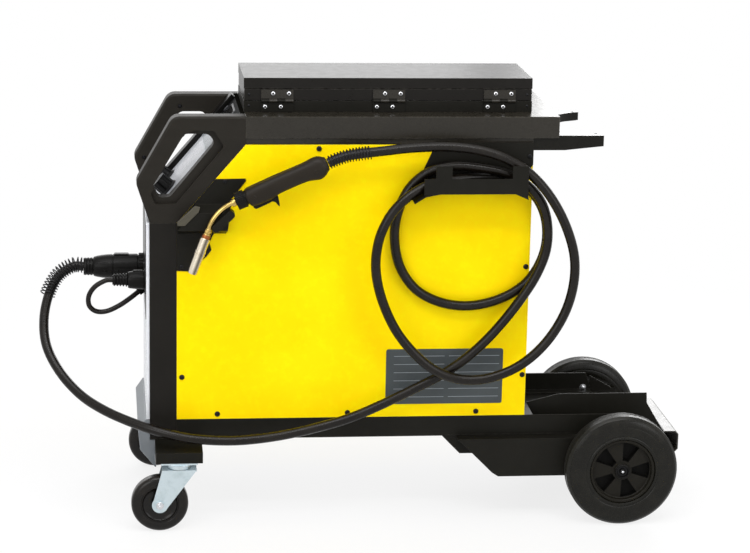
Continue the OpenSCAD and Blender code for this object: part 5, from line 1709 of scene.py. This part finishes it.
    def socket_plate(self) -> None:
        """The thin black plate round the front sockets."""
        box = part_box("front_panel")
        face, half, foot_z = box[0][0] / MM, box[1][1] / MM - 1.6, self.foot[1]
        plate = Bench.block("socket_plate", at(face - 0.8, -half, foot_z - 173),
                            at(face + 0.3, half, foot_z - 2))
        Fit.hang(Bench.soften(plate, 0.3), Finish.BLACK_PLASTIC, "front_panel")

    def build(self) -> None:
        """Makes the console."""
        Fit.skin("control_panel", Finish.PALE_PLASTIC, 1.0, 3)
        Fit.skin("front_panel", Finish.PALE_PLASTIC, 1.2, 3)
        Fit.skins(("front_cowl", Finish.COWL_PAINT, 0.8), ("front_sockets", Finish.BLACK_PLASTIC, 0.5))
        self.knob("wire_knob", self.knob_y)
        self.knob("volt_knob", -self.knob_y)
        self.scales()
        self.face()
        self.socket_plate()


@dataclass
class Toolbox:
    """Lid, tray and hinges of the toolbox on top."""

    x0: float = -298.0
    x1: float = 208.0
    axis_z: float = 746.0
    leaf_y: float = -90.5
    back_y: float = -88.0
    hinge_xs: Sequence[float] = (-240.0, -45.0, 150.0)
    crease_z: float = 766.0

    def crease(self, lid: Piece) -> None:
        """Presses a groove round the lid's skirt and leans the skirt in below it."""
        levels = [self.crease_z + dz for dz in (1.6, 0.0, -1.6)]
        for z in levels:
            Bench.pick(lid, lambda f: True)
            bpy.ops.mesh.bisect(plane_co=at(0, 0, z), plane_no=(0, 0, 1))
            Bench.done()
        box = [Vector(c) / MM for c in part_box("toolbox_lid")]
        for v in lid.data.vertices:
            p = v.co / MM
            depth = 1.4 if abs(p.z - self.crease_z) < ON_PLANE else 0.7 if p.z < self.crease_z - 1 else 0.0
            if p.x < box[0].x + 0.1 or p.x > box[1].x - 0.1:
                v.co.x -= math.copysign(depth, p.x - (box[0].x + box[1].x) / 2) * MM
            if p.y < box[0].y + 0.1 or p.y > box[1].y - 0.1:
                v.co.y -= math.copysign(depth, p.y) * MM

    def build(self) -> None:
        """Makes the toolbox."""
        lid = Fit.merged("toolbox_lid")
        self.crease(lid)
        Fit.stand(Bench.soften(lid, 1.1, 3, 30), Finish.LID_PAINT, "toolbox_lid")
        Fit.skins(("toolbox_tray", Finish.BLACK_PAINT, 0.6), ("fixed_hinges", Finish.BLACK_PAINT, 0.35),
                  ("lid_hinges", Finish.COVER_PAINT, 0.35))
        leaves = (("lower", -10.4, (-21.2, 6.2), "fixed_hinges"), ("upper", 12.7, (-7.3, 20.1), "lid_hinges"))
        for name, dz, xs, node in leaves:
            places = [at(x + dx, self.leaf_y, self.axis_z + dz) for x in self.hinge_xs for dx in xs]
            heads = screws("hinge_screw", places, (0, -1, 0), 4.0, 2.6, 1.9)
            Fit.hang(Bench.joined(f"hinge_screws_{name}", heads), Finish.BRIGHT, node)
        dome = [(0, 0), (0, 2.2), (0.4, 2.1), (0.9, 1.3), (1.1, 0)]
        for name, z, node in (("tray_rivets", 737, "toolbox_tray"), ("lid_rivets", 757, "toolbox_lid")):
            rivets = [Bench.turned("rivet", dome, at(x, self.back_y, z), (0, -1, 0), 20)
                      for x in (self.x0 + 9, self.x1 - 9)]
            Fit.hang(Bench.joined(name, rivets), Finish.DARK_STEEL, node)
        pull = Bench.block("toolbox_pull", at(-85, 88, 752), at(-5, 92.5, 764))
        Fit.hang(Bench.soften(pull, 1.6, 3), Finish.BLACK_PLASTIC, "toolbox_lid")


class SideFittings:
    """The torch holder and the cable hanger on the near side."""

    def build(self) -> None:
        """Makes both brackets."""
        Fit.skins(("torch_holder", Finish.BLACK_PAINT, 0.7), ("cable_hanger", Finish.BLACK_PAINT, 0.7))
        outline = [(-415, 541), (-415, 548), (-385, 576), (-376, 574), (-378, 565.5), (-402, 541)]
        pad = Bench.plate("holder_pad", [at(x, -162, z) for x, z in outline], at(0, -5.5, 0))
        Fit.hang(Bench.soften(pad, 1.4, 3), Finish.PAD, "torch_holder")


class Inside:
    """Wire feed, spool, power unit and fan behind the panels."""

    def build(self) -> None:
        """Makes what is inside."""
        Fit.skins(
            ("partition", Finish.ZINC, 0.3), ("feed_unit", Finish.ALUMINIUM, 0.8),
            ("feed_roll", Finish.DARK_STEEL, 0.5), ("pressure_arm", Finish.BLACK_PLASTIC, 0.8),
            ("wire_spool", Finish.WIRE, 0.8), ("power_unit", Finish.IRON, 0.6),
            ("fan", Finish.BLACK_PLASTIC, 0.4),
        )


class RearFittings:
    """Mains gland, gas inlet and power switch."""

    def build(self) -> None:
        """Makes the rear fittings."""
        Fit.skins(("mains_gland", Finish.BLACK_PLASTIC, 0.6), ("gas_inlet", Finish.BRASS, 0.4))
        Fit.skin("power_switch", Finish.KNOB, 0.8, 3)


# ---- Studio ----


@dataclass
class Studio:
    """Camera, floor, lamps and surroundings."""

    eye: Point = (-0.54251, -4.29902, 1.45495)
    yaw: float = 6.494
    pitch: float = 13.585
    roll: float = 1.1436
    lens: float = 118.1
    sensor: float = 36.0
    floor_size: float = 30.0
    lamps: Sequence[tuple[str, Point, Point, Pair, float]] = (
        ("overhead", (-0.1, -1.0, 2.9), (0, 0, 0.4), (2.6, 1.8), 35),
        ("overhead_strip", (-0.3, -1.7, 2.5), (-0.1, 0, 0.5), (2.6, 0.22), 17),
        ("front_left", (-2.2, -3.0, 1.7), (0, 0, 0.45), (1.8, 1.8), 28),
        ("front_right", (2.2, -2.8, 1.5), (0.1, 0, 0.45), (1.4, 1.6), 20),
        ("behind", (-1.2, 3.4, 1.75), (0, 0, 0.7), (4.2, 1.5), 32),
        ("behind_right", (1.98, 3.4, 1.6), (0.2, 0, 0.7), (2.3, 1.3), 60),
    )

    def camera(self) -> None:
        """Sets the camera."""
        y, t, r = (math.radians(a) for a in (self.yaw, self.pitch, self.roll))
        ahead = Vector((math.sin(y) * math.cos(t), math.cos(y) * math.cos(t), -math.sin(t)))
        right = ahead.cross(Vector((0, 0, 1))).normalized()
        up = right.cross(ahead)
        right, up = right * math.cos(r) + up * math.sin(r), up * math.cos(r) - right * math.sin(r)
        data = bpy.data.cameras.new("camera")
        data.lens, data.sensor_width = self.lens, self.sensor
        data.clip_start, data.clip_end = 0.1, 60
        cam = Bench.placed("camera", data)
        cam.matrix_world = Matrix((
            (right.x, up.x, -ahead.x, self.eye[0]),
            (right.y, up.y, -ahead.y, self.eye[1]),
            (right.z, up.z, -ahead.z, self.eye[2]),
            (0, 0, 0, 1),
        ))
        bpy.context.scene.camera = cam

    def lamp(self, name: str, place: Point, aim: Point, size: Pair, power: float) -> None:
        """A soft rectangular lamp aimed at a point."""
        data = bpy.data.lights.new(name, "AREA")
        data.shape, data.size, data.size_y, data.energy = "RECTANGLE", size[0], size[1], power
        obj = Bench.placed(name, data)
        obj.location = place
        obj.rotation_euler = (Vector(aim) - Vector(place)).to_track_quat("-Z", "Y").to_euler()

    def floor(self) -> None:
        """A pale floor that keeps the shadow."""
        Bench.clear()
        bpy.ops.mesh.primitive_plane_add(size=self.floor_size, location=(0, 0, 0))
        obj = Bench.named("floor")
        material = bpy.data.materials.new("pale_floor")
        g = Graph(material)
        g.set(Base_Color=(0.9, 0.9, 0.9, 1), Roughness=0.6, Specular_IOR_Level=0.2)
        glow = g.node("ShaderNodeEmission", {}, {"Color": (1, 1, 1, 1), "Strength": 1.0})
        apart = g.node("ShaderNodeVectorMath", {"operation": "LENGTH"}, {0: g.place}, 1)
        seen = g.ray("Camera").larger(g.ray("Glossy")) * (0.8 + apart.between(0.7, 1.9) * 0.2)
        mixed = g.node("ShaderNodeMixShader", {}, {0: seen, 1: Value(g, g.shader.outputs[0]), 2: glow})
        out = next(n for n in g.tree.nodes if n.type == "OUTPUT_MATERIAL")
        g.feed(out.inputs["Surface"], mixed)
        obj.data.materials.append(material)

    def surroundings(self) -> None:
        """White where it is seen or mirrored, and plain soft light elsewhere."""
        world = bpy.data.worlds.new("studio")
        bpy.context.scene.world = world
        g = Graph(world)
        seen = g.ray("Camera").larger(g.ray("Glossy")).larger(g.ray("Transmission"))
        level = g.node("ShaderNodeMapRange", {}, {"Value": seen, "To Min": 0.5, "To Max": 1.0})
        g.set(Color=(1, 1, 1, 1), Strength=level)

    def build(self) -> None:
        """Makes the studio, after the camera."""
        self.floor()
        for row in self.lamps:
            self.lamp(*row)
        self.surroundings()
        bpy.context.scene.view_settings.view_transform = "Standard"


def main() -> None:
    """Builds the pieces in order and dresses the machine."""
    logging.basicConfig(level=logging.INFO, format="%(message)s")
    studio = Studio()
    studio.camera()
    parts: list[Any] = [Cables(), Torch(), RunningGear(), Cabinet(), Handles(), Console(), Toolbox(),
                        SideFittings(), Inside(), RearFittings(), studio]
    for part in parts:
        part.build()
        LOG.info("%s built", type(part).__name__)
    bpy.data.materials.remove(bpy.data.materials["blank"])


if __name__ == "__main__":
    main()
